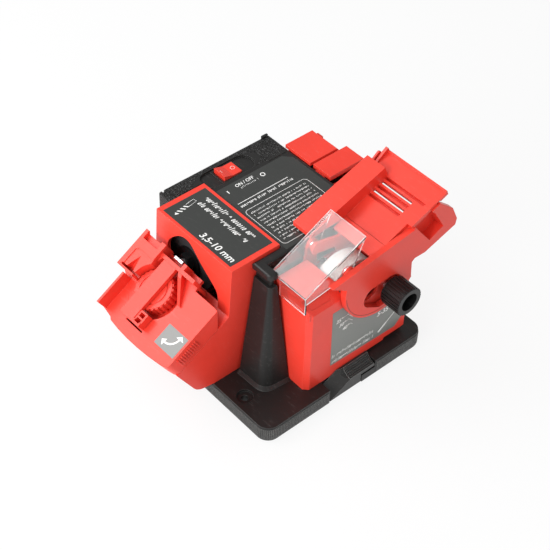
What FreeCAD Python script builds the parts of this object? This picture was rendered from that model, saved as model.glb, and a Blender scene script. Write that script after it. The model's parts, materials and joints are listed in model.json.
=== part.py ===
import FreeCAD, Part
import math
import os

V = FreeCAD.Vector

# Bench frame: X runs to the right, Y to the back, Z up, and the zero is the base plate's
# bottom front left corner. save() moves every piece so that the origin is the middle of the
# whole machine seen from above, at the level that the rubber feet stand on.

# Clearances
FACE_GAP = 0.4
RUN_FIT = 0.05
SLIDE_GAP = 0.3
WALL = 2.5

# Base plate
BASE_W = 160.0
BASE_D = 174.0
BASE_H = 14.0
BASE_CORNER = 10.0
BASE_WALL = 3.0
BASE_TOP = 3.0
BENCH_SIDE_INSET = 10.0
BENCH_FRONT_Y = 36.5
BENCH_BACK_INSET = 37.5
BENCH_HOLE_R = 2.75
BENCH_SEAT_R = 6.5
BENCH_SEAT_DEPTH = 2.0
BENCH_BOSS_R = 9.0
BOTTOM_COVER_T = 2.0
FOOT_R = 7.5
FOOT_H = 1.5
FOOT_STEM_R = 2.5
FOOT_STEM_H = 5.0
FOOT_INSET = 17.0

# Release lever in the front edge of the base
LEVER_X = 62.8
LEVER_W = 31.2
LEVER_D = 10.2
LEVER_WING = 13.8
LEVER_WING_Z = 9.0
LEVER_FRONT_Z = 11.4
LEVER_TOP_Z = 17.4
LEVER_SIDE_GAP = 0.8
LEVER_ARM_T = 2.6
LEVER_ARM_Z = 8.0
LEVER_PIN_Y = 27.0
LEVER_PIN_R = 1.5
LEVER_HOOK_Y = 14.5
LEVER_HOOK_W = 12.0
LEVER_HOOK_H = 0.7
LEVER_RIDGE_PITCH = 1.6
LEVER_RIDGE_H = 0.6
SPRING_R = 3.2
SPRING_WIRE_R = 0.4
SPRING_TURNS = 3

# Screws that hold the central housing from below
SCREW_R = 2.0
SCREW_BOSS_R = 4.5
SCREW_HEAD_R = 3.6
SCREW_HEAD_H = 2.4
SCREW_WALL_GAP_X = 5.5
SCREW_SIDE_INSET = 8.0
SCREW_END_INSET = 6.5

# Central housing and its cover
BODY_X0 = 31.0
BODY_X1 = 138.0
BODY_Y1 = 162.0
BODY_FRONT_Y = 53.0
CAP_X0 = 35.8
CAP_X1 = 43.8
CAP_Y0 = 40.8
CAP_CORNER = 4.5
CAP_LIP_Z = 112.0
NECK_INSET = 3.8
BAY_X = 62.0
COVER_Z0 = 108.0
BODY_TOP = 117.0
BODY_CORNER = 1.5
COVER_ROUND = 1.8
COVER_SKIRT = 3.0
PILLAR_TOP_Z = 104.0
PILLAR_TOP_GAP = 0.6

# Cable gland and vents in the housing, and the sheet on the cover
GLAND_X = 118.0
GLAND_Z = 30.0
GLAND_R = 6.5
GLAND_FLANGE_R = 9.0
GLAND_BORE_R = 3.6
VENT_COUNT = 9
VENT_PITCH = 5.0
VENT_W = 2.4
VENT_X0 = 46.0
VENT_Z0 = 40.0
VENT_Z1 = 84.0
VENT_SIDE_Y0 = 62.0
VENT_SIDE_Z0 = 24.0
VENT_SIDE_Z1 = 44.0
LABEL_X0 = 63.6
LABEL_X1 = 134.5
LABEL_Y0 = 55.5
LABEL_Y1 = 135.0

# Rocker switch
SWITCH_X = 85.5
SWITCH_Y = 148.0
ROCKER_L = 17.0
ROCKER_W = 13.0
ROCKER_TILT = 9.0
ROCKER_RISE = 2.6
ROCKER_R = 6.0
ROCKER_GAP = 0.5
DISH_L = 48.0
DISH_W = 18.0
DISH_DEPTH = 1.6
BEZEL = 2.0
SWITCH_DEPTH = 16.0
PAD_RISE = 0.5
ROCKER_AXIS_Z = BODY_TOP - DISH_DEPTH - 1.0

# Motor and drive: the motor shaft runs along Y, the cross shaft along X
MOTOR_X = 95.6
AXIS_Z = 83.5
CROSS_Y = 118.0
SHAFT_R = 4.0
BEARING_R = 11.0
BEARING_L = 4.5
STACK_R = 29.0
STACK_BORE_R = 17.5
STACK_Y0 = 70.0
STACK_L = 19.0
COIL_R0 = 18.4
COIL_R1 = 23.4
COIL_OVERHANG = 3.5
CORE_R = 16.8
CORE_SLOTS = 12
WINDING_R = 14.5
WINDING_L = 3.6
COMMUTATOR_R = 9.0
COMMUTATOR_L = 5.0
COMMUTATOR_BARS = 12
BRUSH_GAP = 0.3
FAN_R = 24.0
FAN_L = 4.5
FAN_BLADES = 11
GEAR_TEETH = 14
GEAR_PITCH_R = 10.5
GEAR_FACE = 5.0
GEAR_ADDENDUM = 0.8
GEAR_DEDENDUM = 1.25
GEAR_TOOTH_W = 1.5
BRACKET_W = 60.0
BRUSH_L = 11.0
BRUSH_H = 5.0
HOLDER_L = 12.5
FRONT_BEARING_Y = BODY_FRONT_Y + WALL
STACK_Y1 = STACK_Y0 + STACK_L
FAN_Y0 = STACK_Y1 + COIL_OVERHANG + 1.0
REAR_BEARING_Y = FAN_Y0 + FAN_L + 1.2
PINION_BACK_Y = CROSS_Y - GEAR_PITCH_R - 2.9
COMMUTATOR_Y0 = FRONT_BEARING_Y + BEARING_L + 0.4

# Grinding wheels
WHEEL_R = 25.5
KNIFE_WHEEL_R = 20.0
WHEEL_W = 16.0
WHEEL_FILLET = 0.6
FLANGE_R = 12.0
FLANGE_T = 1.5
NUT_AF = 13.0
NUT_H = 4.0
CHISEL_WHEEL_Y = 20.5
DRILL_WHEEL_X = 25.0
KNIFE_WHEEL_X = 146.0

# Drill module on the left
DRILL_X0 = 17.4
DRILL_LEAN = 2.5
DRILL_Y0 = 60.6
DRILL_Y1 = 146.2
DRILL_TOP = 119.1
DRILL_SHOULDER_Z = 74.8
SLOPE_DEG = 31.3
SLOPE_EDGE_X = -11.6
SLOPE_EDGE_Z = 79.2
HEAD_DEPTH = 16.6
NOSE_S = -35.4
NOSE_DEPTH = 51.5
NOSE_FOOT = (-1.5, 14.6)
NOSE_ROUND = 14.0
DRILL_LABEL_MARGIN_X = 2.6
DRILL_LABEL_MARGIN_Y = 4.6
LABEL_T = 0.4
LABEL_SINK = 0.3
ARCH_POINTS = (
    (132.0, 88.9), (132.4, 95.5), (130.6, 100.5), (126.8, 105.2), (122.0, 109.6), (117.0, 112.7),
    (112.0, 113.9), (107.5, 113.2), (104.0, 111.2), (101.0, 108.6), (97.8, 105.8), (94.4, 103.1),
    (89.6, 99.6), (84.4, 96.2), (80.0, 93.2), (77.2, 91.0), (75.2, 88.6), (74.0, 85.0), (73.4, 80.0),
)

# Swinging head on the drill module, in its own frame: s up the slope, y, h square to it
HEAD_SKIN = 2.5
HEAD_CORNER = 4.5
HEAD_PIVOT_S = 16.0
HEAD_PIVOT_Y = 112.0
HEAD_PIN_R = 3.0
HEAD_BOSS_R = 6.5
WHEEL_WELL_R = 22.0
WELL_FLOOR = 8.0
THUMB_R = 16.0
THUMB_TOP = 4.0
THUMB_TEETH = 26
THUMB_TOOTH_W = 2.0
THUMB_GROOVE_R = 11.4
BRIDGE_Y0 = 105.2
BRIDGE_W = 13.4
BRIDGE_UNDER = 4.6
BRIDGE_TOP = 8.4
SIDE_WALL_TOP = 12.0
PLATFORM_STEP = 8.0
POINTER_Z = 11.2
JAW_GAP = 0.4
JAW_W = 4.2
JAW_TRAVEL = 3.25
JAW_T = 2.0
JAW_S = 27.0
JAW_TOP = 4.4
HEAD_RIBS = 10
HEAD_RIB_PITCH = 2.0
HEAD_RIB_L = 8.5
HEAD_RIB_H = 1.1
ARROW_S = (-27.6, -10.2)
ARROW_Y = (62.5, 84.0)
THUMB_PIN_R = 2.5

# Chisel module in front
CHISEL_X0 = 46.8
CHISEL_X1 = 148.0
CHISEL_Y0 = 10.7
CHISEL_Y1 = 52.6
CHISEL_BEVEL = 3.6
CHISEL_RIM_Z = 90.0
PLATFORM_Z = 104.0
PLATFORM_X1 = 78.0
PLATFORM_BEVEL = (92.0, 19.0)
PLATFORM_Y1 = 47.8
LEDGE_Z = 96.5
HINGE_X = 84.0
HINGE_Z = 113.0
HINGE_PIN_R = 3.0
EAR_R = 5.0
EAR_TUBE_R = 4.2
EAR_TUBE_L = 2.8
FAR_ARM_Y0 = 44.4
FAR_ARM_Y1 = 46.9

# Ramp, in its own frame: u up the slope from the chisel tip, y, v square to it
RAMP_DEG = 22.0
TIP_X = 92.0
TIP_Z = 111.0
CHEEK_Y0 = 5.0
CHEEK_T = 4.9
CHEEK_SKIN = 2.4
FLOOR_T = 3.0
BED_T = 3.0
BED_U0 = 16.0
BED_U1 = 84.0
FLOOR_U0 = 27.0
FLOOR_U1 = 87.0
FLOOR_Y0 = 10.6
FLOOR_Y1 = 52.0
BAR_Y0 = 51.4
BAR_Y1 = 70.0
BAR_LOW = (82.5, 122.5)
BAR_HIGH = (154.0, 146.5)
BAR_UNDER_Z = 118.9
KNOB_X = 122.5
KNOB_Z = 79.0
KNOB_R = 12.0
KNOB_L = 18.5
KNOB_TEETH = 28
KNOB_BORE_R = 7.6
KNOB_BORE_L = 11.0
BOLT_R = 3.0
SLOT_ROUNDS = ((104.0, 82.0, 9.3), (120.5, 80.0, 12.5), (112.4, 70.2, 3.6))
BOLT_WINDOW = ((104.0, 82.0, 7.8), (108.5, 81.0, 5.5))
LOBE_C = (112.5, 99.0)
LOBE_R = 37.0
RAIL_U = (36.0, 76.0)
SLOT_U = (49.8, 54.4, 58.7, 63.0, 67.2)
FLOOR_SLOT_W = 2.6

# Clear shield
SHIELD_T = 1.5
SHIELD_X0 = 44.4
SHIELD_FRONT_Y1 = 40.4
SHIELD_Z0 = 110.6
SHIELD_X1 = 99.5
SHIELD_RISE = 26.5
SHIELD_Y0 = 13.6
SHIELD_FRONT_H = 15.5

# Knife and scissor module on the right
KNIFE_X0 = 138.4
KNIFE_X1 = 172.0
KNIFE_Y0 = 88.0
KNIFE_Y1 = 141.5
KNIFE_RIM_Z = 112.0
KNIFE_SLOT_Y = 112.6
KNIFE_SLOT_W = 1.6
PLATE_Z = 119.0
PLATE_T = 3.0

# The middle of the whole machine seen from above, in the bench frame
OVERALL_MID_X = 70.0
OVERALL_MID_Y = 80.0
MIDDLE = V(-OVERALL_MID_X, -OVERALL_MID_Y, FOOT_H)


def save(shape, name):
    """Moves a piece to the assembly's origin and writes it."""
    moved = shape.copy()
    moved.translate(MIDDLE)
    if len(moved.Solids) == 1:
        moved = moved.Solids[0]
    moved.exportStep("parts/" + name + ".step")
    print(f"{name:22s} solids {len(moved.Solids)} volume {moved.Volume:10.1f} valid {moved.isValid()}")


def box(x0, x1, y0, y1, z0, z1):
    return Part.makeBox(x1 - x0, y1 - y0, z1 - z0, V(x0, y0, z0))


def rod(x, y, z, r, length, axis):
    """A round bar that starts at x, y, z and runs along axis."""
    return Part.makeCylinder(r, length, V(x, y, z), axis)


def rod_x(x0, x1, y, z, r):
    return rod(x0, y, z, r, x1 - x0, V(1, 0, 0))


def rod_y(x, y0, y1, z, r):
    return rod(x, y0, z, r, y1 - y0, V(0, 1, 0))


def rod_z(x, y, z0, z1, r):
    return rod(x, y, z0, r, z1 - z0, V(0, 0, 1))


def face(points):
    loop = [V(*p) for p in points]
    return Part.Face(Part.makePolygon(loop + [loop[0]]))


def prism_xz(points, y0, y1):
    """An outline of x, z points carried from y0 to y1."""
    return face([(x, y0, z) for x, z in points]).extrude(V(0, y1 - y0, 0))


def prism_xy(points, z0, z1):
    return face([(x, y, z0) for x, y in points]).extrude(V(0, 0, z1 - z0))


def prism_yz(points, x0, x1):
    return face([(x0, y, z) for y, z in points]).extrude(V(x1 - x0, 0, 0))


def rounded(shape, radius, axis):
    """Rounds the straight edges that run along one axis."""
    picked = []
    for edge in shape.Edges:
        if len(edge.Vertexes) < 2 or edge.Curve.TypeId != "Part::GeomLine":
            continue
        run = edge.Vertexes[1].Point.sub(edge.Vertexes[0].Point)
        if abs(run.dot(axis)) > 0.999 * run.Length:
            picked.append(edge)
    return shape.makeFillet(radius, picked)


def round_box(x0, x1, y0, y1, z0, z1, radius):
    return rounded(box(x0, x1, y0, y1, z0, z1), radius, V(0, 0, 1))


def rounded_at(shape, radius, corners):
    """Rounds the upright edges that stand at the given x, y corners."""
    picked = []
    for edge in shape.Edges:
        middle = edge.BoundBox.Center
        upright = edge.BoundBox.ZLength > 0.99 * edge.Length
        for x, y in corners:
            if upright and abs(middle.x - x) < 0.01 and abs(middle.y - y) < 0.01:
                picked.append(edge)
    return shape.makeFillet(radius, picked)


def join(pieces):
    whole = pieces[0]
    if len(pieces) > 1:
        whole = whole.fuse(pieces[1:])
    return whole.removeSplitter()


def group(pieces):
    """Separate solids that share one node."""
    return Part.makeCompound(pieces)


def hexagon(across, height, centre, axis):
    """A hexagonal prism with its flats across apart."""
    corner_r = across / math.sqrt(3)
    points = []
    for i in range(6):
        a = math.radians(60 * i + 30)
        points.append((corner_r * math.cos(a), corner_r * math.sin(a), 0))
    block = face(points).extrude(V(0, 0, height))
    turn = FreeCAD.Rotation(V(0, 0, 1), axis)
    block.Placement = FreeCAD.Placement(centre, turn)
    return block


def onto_slope(shape, degrees, x, z):
    """Carries a piece from a slope's own frame, along and square to it, to the bench frame."""
    moved = shape.copy()
    moved.rotate(V(0, 0, 0), V(0, 1, 0), -degrees)
    moved.translate(V(x, 0, z))
    return moved


def on_head(shape):
    return onto_slope(shape, SLOPE_DEG, SLOPE_EDGE_X, SLOPE_EDGE_Z)


def on_ramp(shape):
    return onto_slope(shape, RAMP_DEG, TIP_X, TIP_Z)


def slope_point(s, h):
    """The x, z place of a point of the drill slope."""
    a = math.radians(SLOPE_DEG)
    x = SLOPE_EDGE_X + s * math.cos(a) - h * math.sin(a)
    z = SLOPE_EDGE_Z + s * math.sin(a) + h * math.cos(a)
    return x, z


# The base plate and what stands under it

def bench_holes():
    places = []
    for x in (BENCH_SIDE_INSET, BASE_W - BENCH_SIDE_INSET):
        for y in (BENCH_FRONT_Y, BASE_D - BENCH_BACK_INSET):
            places.append((x, y))
    return places


def screw_places():
    """The housing screws, front pair first, each pair from left to right."""
    x0 = BAY_X + WALL + SCREW_WALL_GAP_X
    x1 = BODY_X1 - SCREW_SIDE_INSET
    y0 = BODY_FRONT_Y + SCREW_END_INSET
    y1 = BODY_Y1 - SCREW_END_INSET
    return [(x0, y0), (x1, y0), (x0, y1), (x1, y1)]


def foot_places():
    return [
        (x, y)
        for x in (FOOT_INSET, BASE_W - FOOT_INSET)
        for y in (FOOT_INSET, BASE_D - FOOT_INSET)
    ]


def lever_notch(gap):
    """The room for the release lever in the base's front edge."""
    return (LEVER_X - gap, LEVER_X + LEVER_W + gap, LEVER_D + gap)


def lever_wing_room(gap):
    """The shallower room for the part of the thumb pad that reaches over the base's edge."""
    x1 = LEVER_X + LEVER_W + LEVER_WING
    return box(LEVER_X + LEVER_W - 1, x1 + gap, -1, LEVER_D + gap, LEVER_WING_Z - 2.0, BASE_H + 1)


def base_plate():
    plate = round_box(0, BASE_W, 0, BASE_D, 0, BASE_H, BASE_CORNER)
    inner_z = BASE_H - BASE_TOP
    hollow = round_box(
        BASE_WALL, BASE_W - BASE_WALL, BASE_WALL, BASE_D - BASE_WALL,
        -1, inner_z, BASE_CORNER - BASE_WALL,
    )
    plate = plate.cut(hollow)
    x0, x1, depth = lever_notch(LEVER_SIDE_GAP)
    added = [rod_z(x, y, BOTTOM_COVER_T + FACE_GAP, inner_z, BENCH_BOSS_R) for x, y in bench_holes()]
    added += [rod_z(x, y, BOTTOM_COVER_T, inner_z, SCREW_BOSS_R) for x, y in screw_places()]
    wing = lever_wing_room(LEVER_SIDE_GAP + BASE_WALL).BoundBox
    added.append(box(x1, wing.XMax, BASE_WALL, wing.YMax, LEVER_WING_Z - 4.0, inner_z))
    added.append(box(x0 - BASE_WALL, x0, BASE_WALL, depth, BOTTOM_COVER_T, inner_z))
    added.append(box(x1, x1 + BASE_WALL, BASE_WALL, depth, BOTTOM_COVER_T, inner_z))
    pin_z = LEVER_ARM_Z
    for x in (x0 - BASE_WALL, x1):
        added.append(box(x, x + BASE_WALL, depth, LEVER_PIN_Y + 4, BOTTOM_COVER_T, inner_z))
    plate = join([plate] + added)
    cuts = [box(x0, x1, -1, depth, -1, BASE_H + 1), lever_wing_room(LEVER_SIDE_GAP)]
    for x, y in bench_holes():
        cuts.append(rod_z(x, y, -1, BASE_H + 1, BENCH_HOLE_R))
        cuts.append(rod_z(x, y, BASE_H - BENCH_SEAT_DEPTH, BASE_H + 1, BENCH_SEAT_R))
    for x, y in screw_places():
        cuts.append(rod_z(x, y, -1, BASE_H + 1, SCREW_R + RUN_FIT))
    cuts.append(rod_x(x0 - BASE_WALL - 1, x1 + BASE_WALL + 1, LEVER_PIN_Y, pin_z, LEVER_PIN_R))
    hook_x = LEVER_X + (LEVER_W - LEVER_HOOK_W) / 2
    cuts.append(box(
        hook_x - 1, hook_x + LEVER_HOOK_W + 1, LEVER_HOOK_Y - 2, LEVER_HOOK_Y + 2.5,
        inner_z - 1, BASE_H + 1,
    ))
    return plate.cut(join(cuts)).removeSplitter()


def bottom_cover():
    edge = BASE_WALL + FACE_GAP
    radius = BASE_CORNER - edge
    plate = round_box(edge, BASE_W - edge, edge, BASE_D - edge, 0, BOTTOM_COVER_T, radius)
    x0, x1, depth = lever_notch(LEVER_SIDE_GAP)
    cuts = [box(x0 - BASE_WALL, x1 + BASE_WALL, -1, depth, -1, BOTTOM_COVER_T + 1)]
    for x, y in bench_holes():
        cuts.append(rod_z(x, y, -1, BOTTOM_COVER_T + 1, BENCH_SEAT_R))
    for x, y in screw_places():
        cuts.append(rod_z(x, y, -1, BOTTOM_COVER_T + 1, SCREW_R + RUN_FIT))
    for x, y in foot_places():
        cuts.append(rod_z(x, y, -1, BOTTOM_COVER_T + 1, FOOT_STEM_R))
    return plate.cut(join(cuts))


def rubber_feet():
    feet = []
    for x, y in foot_places():
        pad = rod_z(x, y, -FOOT_H, 0, FOOT_R)
        pad = pad.makeFillet(0.5, [e for e in pad.Edges if e.BoundBox.ZMax < -FOOT_H + 0.01])
        feet.append(join([pad, rod_z(x, y, 0, FOOT_STEM_H, FOOT_STEM_R)]))
    return group(feet)


def housing_screws():
    screws = []
    for x, y in screw_places():
        head = rod_z(x, y, -SCREW_HEAD_H + 1.0, 0, SCREW_HEAD_R)
        stem = rod_z(x, y, 0, BASE_H + 12, SCREW_R)
        slot = box(x - 3, x + 3, y - 0.4, y + 0.4, -SCREW_HEAD_H, -SCREW_HEAD_H + 1.8)
        screws.append(join([head, stem]).cut(slot))
    return group(screws)


def lever_pad():
    """The thumb pad: a scooped ribbed ramp on the right, a smooth slanted cheek on its left."""
    x1 = LEVER_X + LEVER_W
    front = [
        (LEVER_X, 0.8), (x1, 0.8), (x1, LEVER_WING_Z), (x1 + LEVER_WING, LEVER_WING_Z),
        (x1 + LEVER_WING, LEVER_TOP_Z), (LEVER_X, LEVER_TOP_Z),
    ]
    block = prism_xz(front, 0.2, LEVER_D)
    low = LEVER_FRONT_Z
    scoop = [(-1, low - 0.4), (0.2, low), (3.2, low + 0.9), (6.4, low + 2.9), (8.6, LEVER_TOP_Z), (8.6, 30), (-1, 30)]
    block = block.cut(prism_yz(scoop, 0, BASE_W))
    corner = V(LEVER_X, 0.2, 0.8)
    across = V(83.0, 0.2, LEVER_FRONT_Z) - corner
    upward = V(77.0, LEVER_D, LEVER_TOP_Z) - corner
    slant = Part.Face(Part.makePolygon([
        corner - across * 2 - upward * 2, corner + across * 4 - upward * 2,
        corner + across * 4 + upward * 4, corner - across * 2 + upward * 4,
        corner - across * 2 - upward * 2,
    ]))
    square = across.cross(upward).normalize()
    above = slant.extrude(square * 60)
    block = block.cut(above.common(box(0, 84, -5, 30, -5, 60)))
    ridges = []
    steps = [V(0, y, z) for y, z in scoop[1:5]]
    for a, b in zip(steps, steps[1:]):
        count = max(1, round((b - a).Length / LEVER_RIDGE_PITCH))
        for i in range(count):
            at = a + (b - a) * ((i + 0.5) / count)
            ridges.append(rod_x(82.5, x1 + LEVER_WING - 0.6, at.y, at.z, LEVER_RIDGE_H))
    return join([block] + ridges)


def release_lever():
    back = LEVER_D
    arm_top = LEVER_ARM_Z + LEVER_ARM_T / 2
    arm = box(
        LEVER_X + 3, LEVER_X + LEVER_W - 3, back - 1, LEVER_PIN_Y, arm_top - LEVER_ARM_T, arm_top,
    )
    hub = rod_x(LEVER_X, LEVER_X + LEVER_W, LEVER_PIN_Y, LEVER_ARM_Z, LEVER_PIN_R + 1.1)
    hook_x = LEVER_X + (LEVER_W - LEVER_HOOK_W) / 2
    hook = prism_yz(
        [
            (LEVER_HOOK_Y - 1.5, arm_top - 1), (LEVER_HOOK_Y - 1.5, BASE_H),
            (LEVER_HOOK_Y, BASE_H + LEVER_HOOK_H), (LEVER_HOOK_Y + 1.5, BASE_H + LEVER_HOOK_H),
            (LEVER_HOOK_Y + 1.5, arm_top - 1),
        ],
        hook_x, hook_x + LEVER_HOOK_W,
    )
    lever = join([lever_pad(), arm, hub, hook])
    bore = rod_x(LEVER_X - 1, LEVER_X + LEVER_W + 1, LEVER_PIN_Y, LEVER_ARM_Z, LEVER_PIN_R + RUN_FIT)
    hollow = box(LEVER_X + 17, LEVER_X + LEVER_W - 2, 2.3, back - 2, 0, 7.5)
    return lever.cut(join([bore, hollow])).removeSplitter()


def lever_pin():
    x0, x1, depth = lever_notch(LEVER_SIDE_GAP)
    return rod_x(x0 - BASE_WALL, x1 + BASE_WALL, LEVER_PIN_Y, LEVER_ARM_Z, LEVER_PIN_R)


def spring_centre():
    return LEVER_X + LEVER_W / 2, LEVER_PIN_Y - 7.2


def lever_spring():
    """A small coil between the bottom cover and the lever's arm."""
    x, y = spring_centre()
    room = LEVER_ARM_Z - LEVER_ARM_T / 2 - BOTTOM_COVER_T
    height = room - 2 * SPRING_WIRE_R - 0.2
    z0 = BOTTOM_COVER_T + SPRING_WIRE_R + 0.1
    coil = Part.makeHelix(height / SPRING_TURNS, height, SPRING_R)
    coil.translate(V(x, y, z0))
    start = coil.Edges[0].valueAt(coil.Edges[0].FirstParameter)
    along = coil.Edges[0].tangentAt(coil.Edges[0].FirstParameter)
    wire = Part.Wire(Part.makeCircle(SPRING_WIRE_R, start, along))
    return Part.Wire(coil.Edges).makePipeShell([wire], True, True)


# The central housing

def body_outline(inset, step):
    """The plan of the central housing moved in by inset, its corner by the pillar by step as well."""
    x0 = BODY_X0 + inset
    x1 = BODY_X1 - inset
    y1 = BODY_Y1 - inset
    cap_x = CAP_X0 + inset + step
    cap_y = CAP_Y0 + inset + step
    return [
        (x0, y1), (x1, y1), (x1, BODY_FRONT_Y + inset), (CAP_X1 - inset, BODY_FRONT_Y + inset),
        (CAP_X1 - inset, cap_y), (cap_x, cap_y),
        (cap_x, DRILL_Y0 - FACE_GAP - inset), (BAY_X + inset, DRILL_Y0 - FACE_GAP - inset),
        (BAY_X + inset, DRILL_Y1 + FACE_GAP + inset), (x0, DRILL_Y1 + FACE_GAP + inset),
    ]


def body_housing():
    outer = body_block(BASE_H, COVER_Z0, NECK_INSET, BODY_CORNER)
    inner = prism_xy(inner_outline(WALL), BASE_H - 1, COVER_Z0 + 1)
    strip = box(
        CAP_X1, BAY_X + WALL + 1, BODY_FRONT_Y + WALL, DRILL_Y0 - FACE_GAP - WALL,
        BASE_H - 1, PILLAR_TOP_Z - WALL,
    )
    shell = outer.cut(join([inner, strip]))
    bosses = [rod_z(x, y, BASE_H, BASE_H + 16, SCREW_BOSS_R) for x, y in screw_places()]
    shell = join([shell] + bosses)
    cuts = [rod_z(x, y, BASE_H - 1, BASE_H + 12, SCREW_R) for x, y in screw_places()]
    cuts.append(rod_y(MOTOR_X, BODY_FRONT_Y - 1, BODY_FRONT_Y + WALL + 1, AXIS_Z, SHAFT_R + 2))
    cuts.append(rod_x(BAY_X - 1, BAY_X + WALL + 1, CROSS_Y, AXIS_Z, SHAFT_R + 2))
    cuts.append(rod_x(BODY_X1 - WALL - 1, BODY_X1 + 1, CROSS_Y, AXIS_Z, SHAFT_R + 2))
    cuts.append(rod_y(GLAND_X, BODY_Y1 - WALL - 1, BODY_Y1 + 1, GLAND_Z, GLAND_R))
    for i in range(VENT_COUNT):
        x = VENT_X0 + i * VENT_PITCH
        cuts.append(box(x, x + VENT_W, BODY_Y1 - WALL - 1, BODY_Y1 + 1, VENT_Z0, VENT_Z1))
    for i in range(VENT_COUNT):
        y = VENT_SIDE_Y0 + i * VENT_PITCH
        cuts.append(box(BODY_X1 - WALL - 1, BODY_X1 + 1, y, y + VENT_W, VENT_SIDE_Z0, VENT_SIDE_Z1))
    return shell.cut(join(cuts)).removeSplitter()


def pillar_outline(z, left, corner, right, back_x, radius):
    """The column's plan at one height: a left side and a front side joined by a round corner."""
    to_left = V(left[0] - corner[0], left[1] - corner[1], 0).normalize()
    to_right = V(right[0] - corner[0], right[1] - corner[1], 0).normalize()
    middle = V(corner[0], corner[1], z)
    start = middle + to_left * radius
    end = middle + to_right * radius
    bulge = middle + (to_left + to_right) * (radius * 0.29)
    arc = Part.Arc(start, bulge, end).toShape()
    back = Part.makePolygon([end, V(right[0], right[1], z), V(right[0], left[1] - 4, z), V(back_x, left[1], z), V(left[0], left[1], z), start])
    return Part.Wire([arc] + back.Edges)


def pillar():
    """The tapered corner column between the drill module and the chisel module."""
    z1 = PILLAR_TOP_Z - PILLAR_TOP_GAP
    low = pillar_outline(BASE_H, (22.7, 58.0), (23.6, 30.8), (46.2, 28.6), 36.0, 8.0)
    high = pillar_outline(z1, (37.0, 59.6), (36.9, 42.2), (43.5, 41.8), 42.0, 3.0)
    column = Part.makeLoft([low, high], True, True)
    ring_low = pillar_outline(BASE_H, (20.2, 58.0), (21.2, 28.4), (46.2, 26.2), 36.0, 9.0)
    ring_high = pillar_outline(BASE_H + 1.8, (22.7, 58.0), (23.7, 30.9), (46.2, 28.7), 36.0, 8.0)
    foot = Part.makeLoft([ring_low, ring_high], True, True)
    room = box(0, BAY_X, DRILL_Y0 - FACE_GAP, BASE_D, 0, BODY_TOP)
    body = body_block(BASE_H - 1, COVER_Z0, NECK_INSET, BODY_CORNER)
    return join([column, foot]).cut(join([body, room]))


def body_block(z0, z1, step, cap_corner):
    """The solid outline of the central housing between two heights, with its outer corners rounded."""
    block = prism_xy(body_outline(0, step), z0, z1)
    block = rounded_at(block, cap_corner, [(CAP_X0 + step, CAP_Y0 + step)])
    corners = [(BODY_X0, BODY_Y1), (BODY_X1, BODY_Y1), (BODY_X1, BODY_FRONT_Y), (CAP_X1, CAP_Y0 + step)]
    return rounded_at(block, BODY_CORNER, corners)


def inner_outline(inset):
    """The inside of the central housing, without the corner by the pillar."""
    x0 = BODY_X0 + inset
    x1 = BODY_X1 - inset
    y1 = BODY_Y1 - inset
    return [
        (x0, y1), (x1, y1), (x1, BODY_FRONT_Y + inset), (BAY_X + inset, BODY_FRONT_Y + inset),
        (BAY_X + inset, DRILL_Y1 + FACE_GAP + inset), (x0, DRILL_Y1 + FACE_GAP + inset),
    ]


def top_cover():
    lid = body_block(CAP_LIP_Z, BODY_TOP, 0, CAP_CORNER)
    lid = lid.makeFillet(COVER_ROUND, top_edges(lid, BODY_TOP))
    lid = join([lid, body_block(COVER_Z0, CAP_LIP_Z, NECK_INSET, BODY_CORNER)])
    lid = lid.cut(prism_xy(inner_outline(WALL), COVER_Z0 - 1, BODY_TOP - WALL))
    skirt = join([
        prism_xy(inner_outline(WALL + 0.1), COVER_Z0 - COVER_SKIRT, COVER_Z0),
        prism_xy(inner_outline(WALL - 0.5), COVER_Z0, COVER_Z0 + 1.5),
    ])
    skirt = skirt.cut(prism_xy(inner_outline(WALL + 1.6), COVER_Z0 - COVER_SKIRT - 1, COVER_Z0 + 2))
    under = box(
        BAY_X + WALL, SWITCH_X + DISH_L / 2 + 2, SWITCH_Y - DISH_W / 2 - 1.5,
        SWITCH_Y + DISH_W / 2 + 1.5, BODY_TOP - DISH_DEPTH - WALL, BODY_TOP - 0.5,
    )
    pads = [
        round_box(
            BODY_X0 + 9, SWITCH_X - DISH_L / 2 + 4, DRILL_Y1 + 2.5, BODY_Y1 - 2.2,
            BODY_TOP - 0.5, BODY_TOP + PAD_RISE, 1.5,
        ),
        round_box(
            SWITCH_X + DISH_L / 2 + 7, BODY_X1 - 2.6, LABEL_Y1 + 2.0, BODY_Y1 - 2.8,
            BODY_TOP - 0.5, BODY_TOP + PAD_RISE, 1.5,
        ),
    ]
    lip = round_box(BODY_X1 - 8, BODY_X1 - 2, BODY_Y1 - 2.4, BODY_Y1 - 0.4, BODY_TOP - 2, BODY_TOP + 2.2, 0.6)
    lid = join([lid, skirt, under, lip] + pads)
    dish = stadium(SWITCH_X, SWITCH_Y, DISH_L, DISH_W, BODY_TOP - DISH_DEPTH, BODY_TOP + 2)
    hole = box(
        SWITCH_X - ROCKER_L / 2 - BEZEL / 2, SWITCH_X + ROCKER_L / 2 + BEZEL / 2,
        SWITCH_Y - ROCKER_W / 2 - BEZEL / 2, SWITCH_Y + ROCKER_W / 2 + BEZEL / 2,
        BODY_TOP - 12, BODY_TOP + 3,
    )
    notch = box(BODY_X0 + 2.2, BODY_X0 + 5.0, BODY_Y1 - 4, BODY_Y1 + 1, BODY_TOP - 3, BODY_TOP + 1)
    label = prism_xy(label_outline(0), BODY_TOP - LABEL_SINK, BODY_TOP + 1)
    return lid.cut(join([dish, hole, notch, label])).removeSplitter()


def label_outline(inset):
    return [
        (LABEL_X0 + inset, LABEL_Y0 + inset), (LABEL_X1 - inset, LABEL_Y0 + inset),
        (LABEL_X1 - inset, LABEL_Y1 - 6), (LABEL_X1 - 6, LABEL_Y1 - inset), (LABEL_X0 + inset, LABEL_Y1 - inset),
    ]


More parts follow.
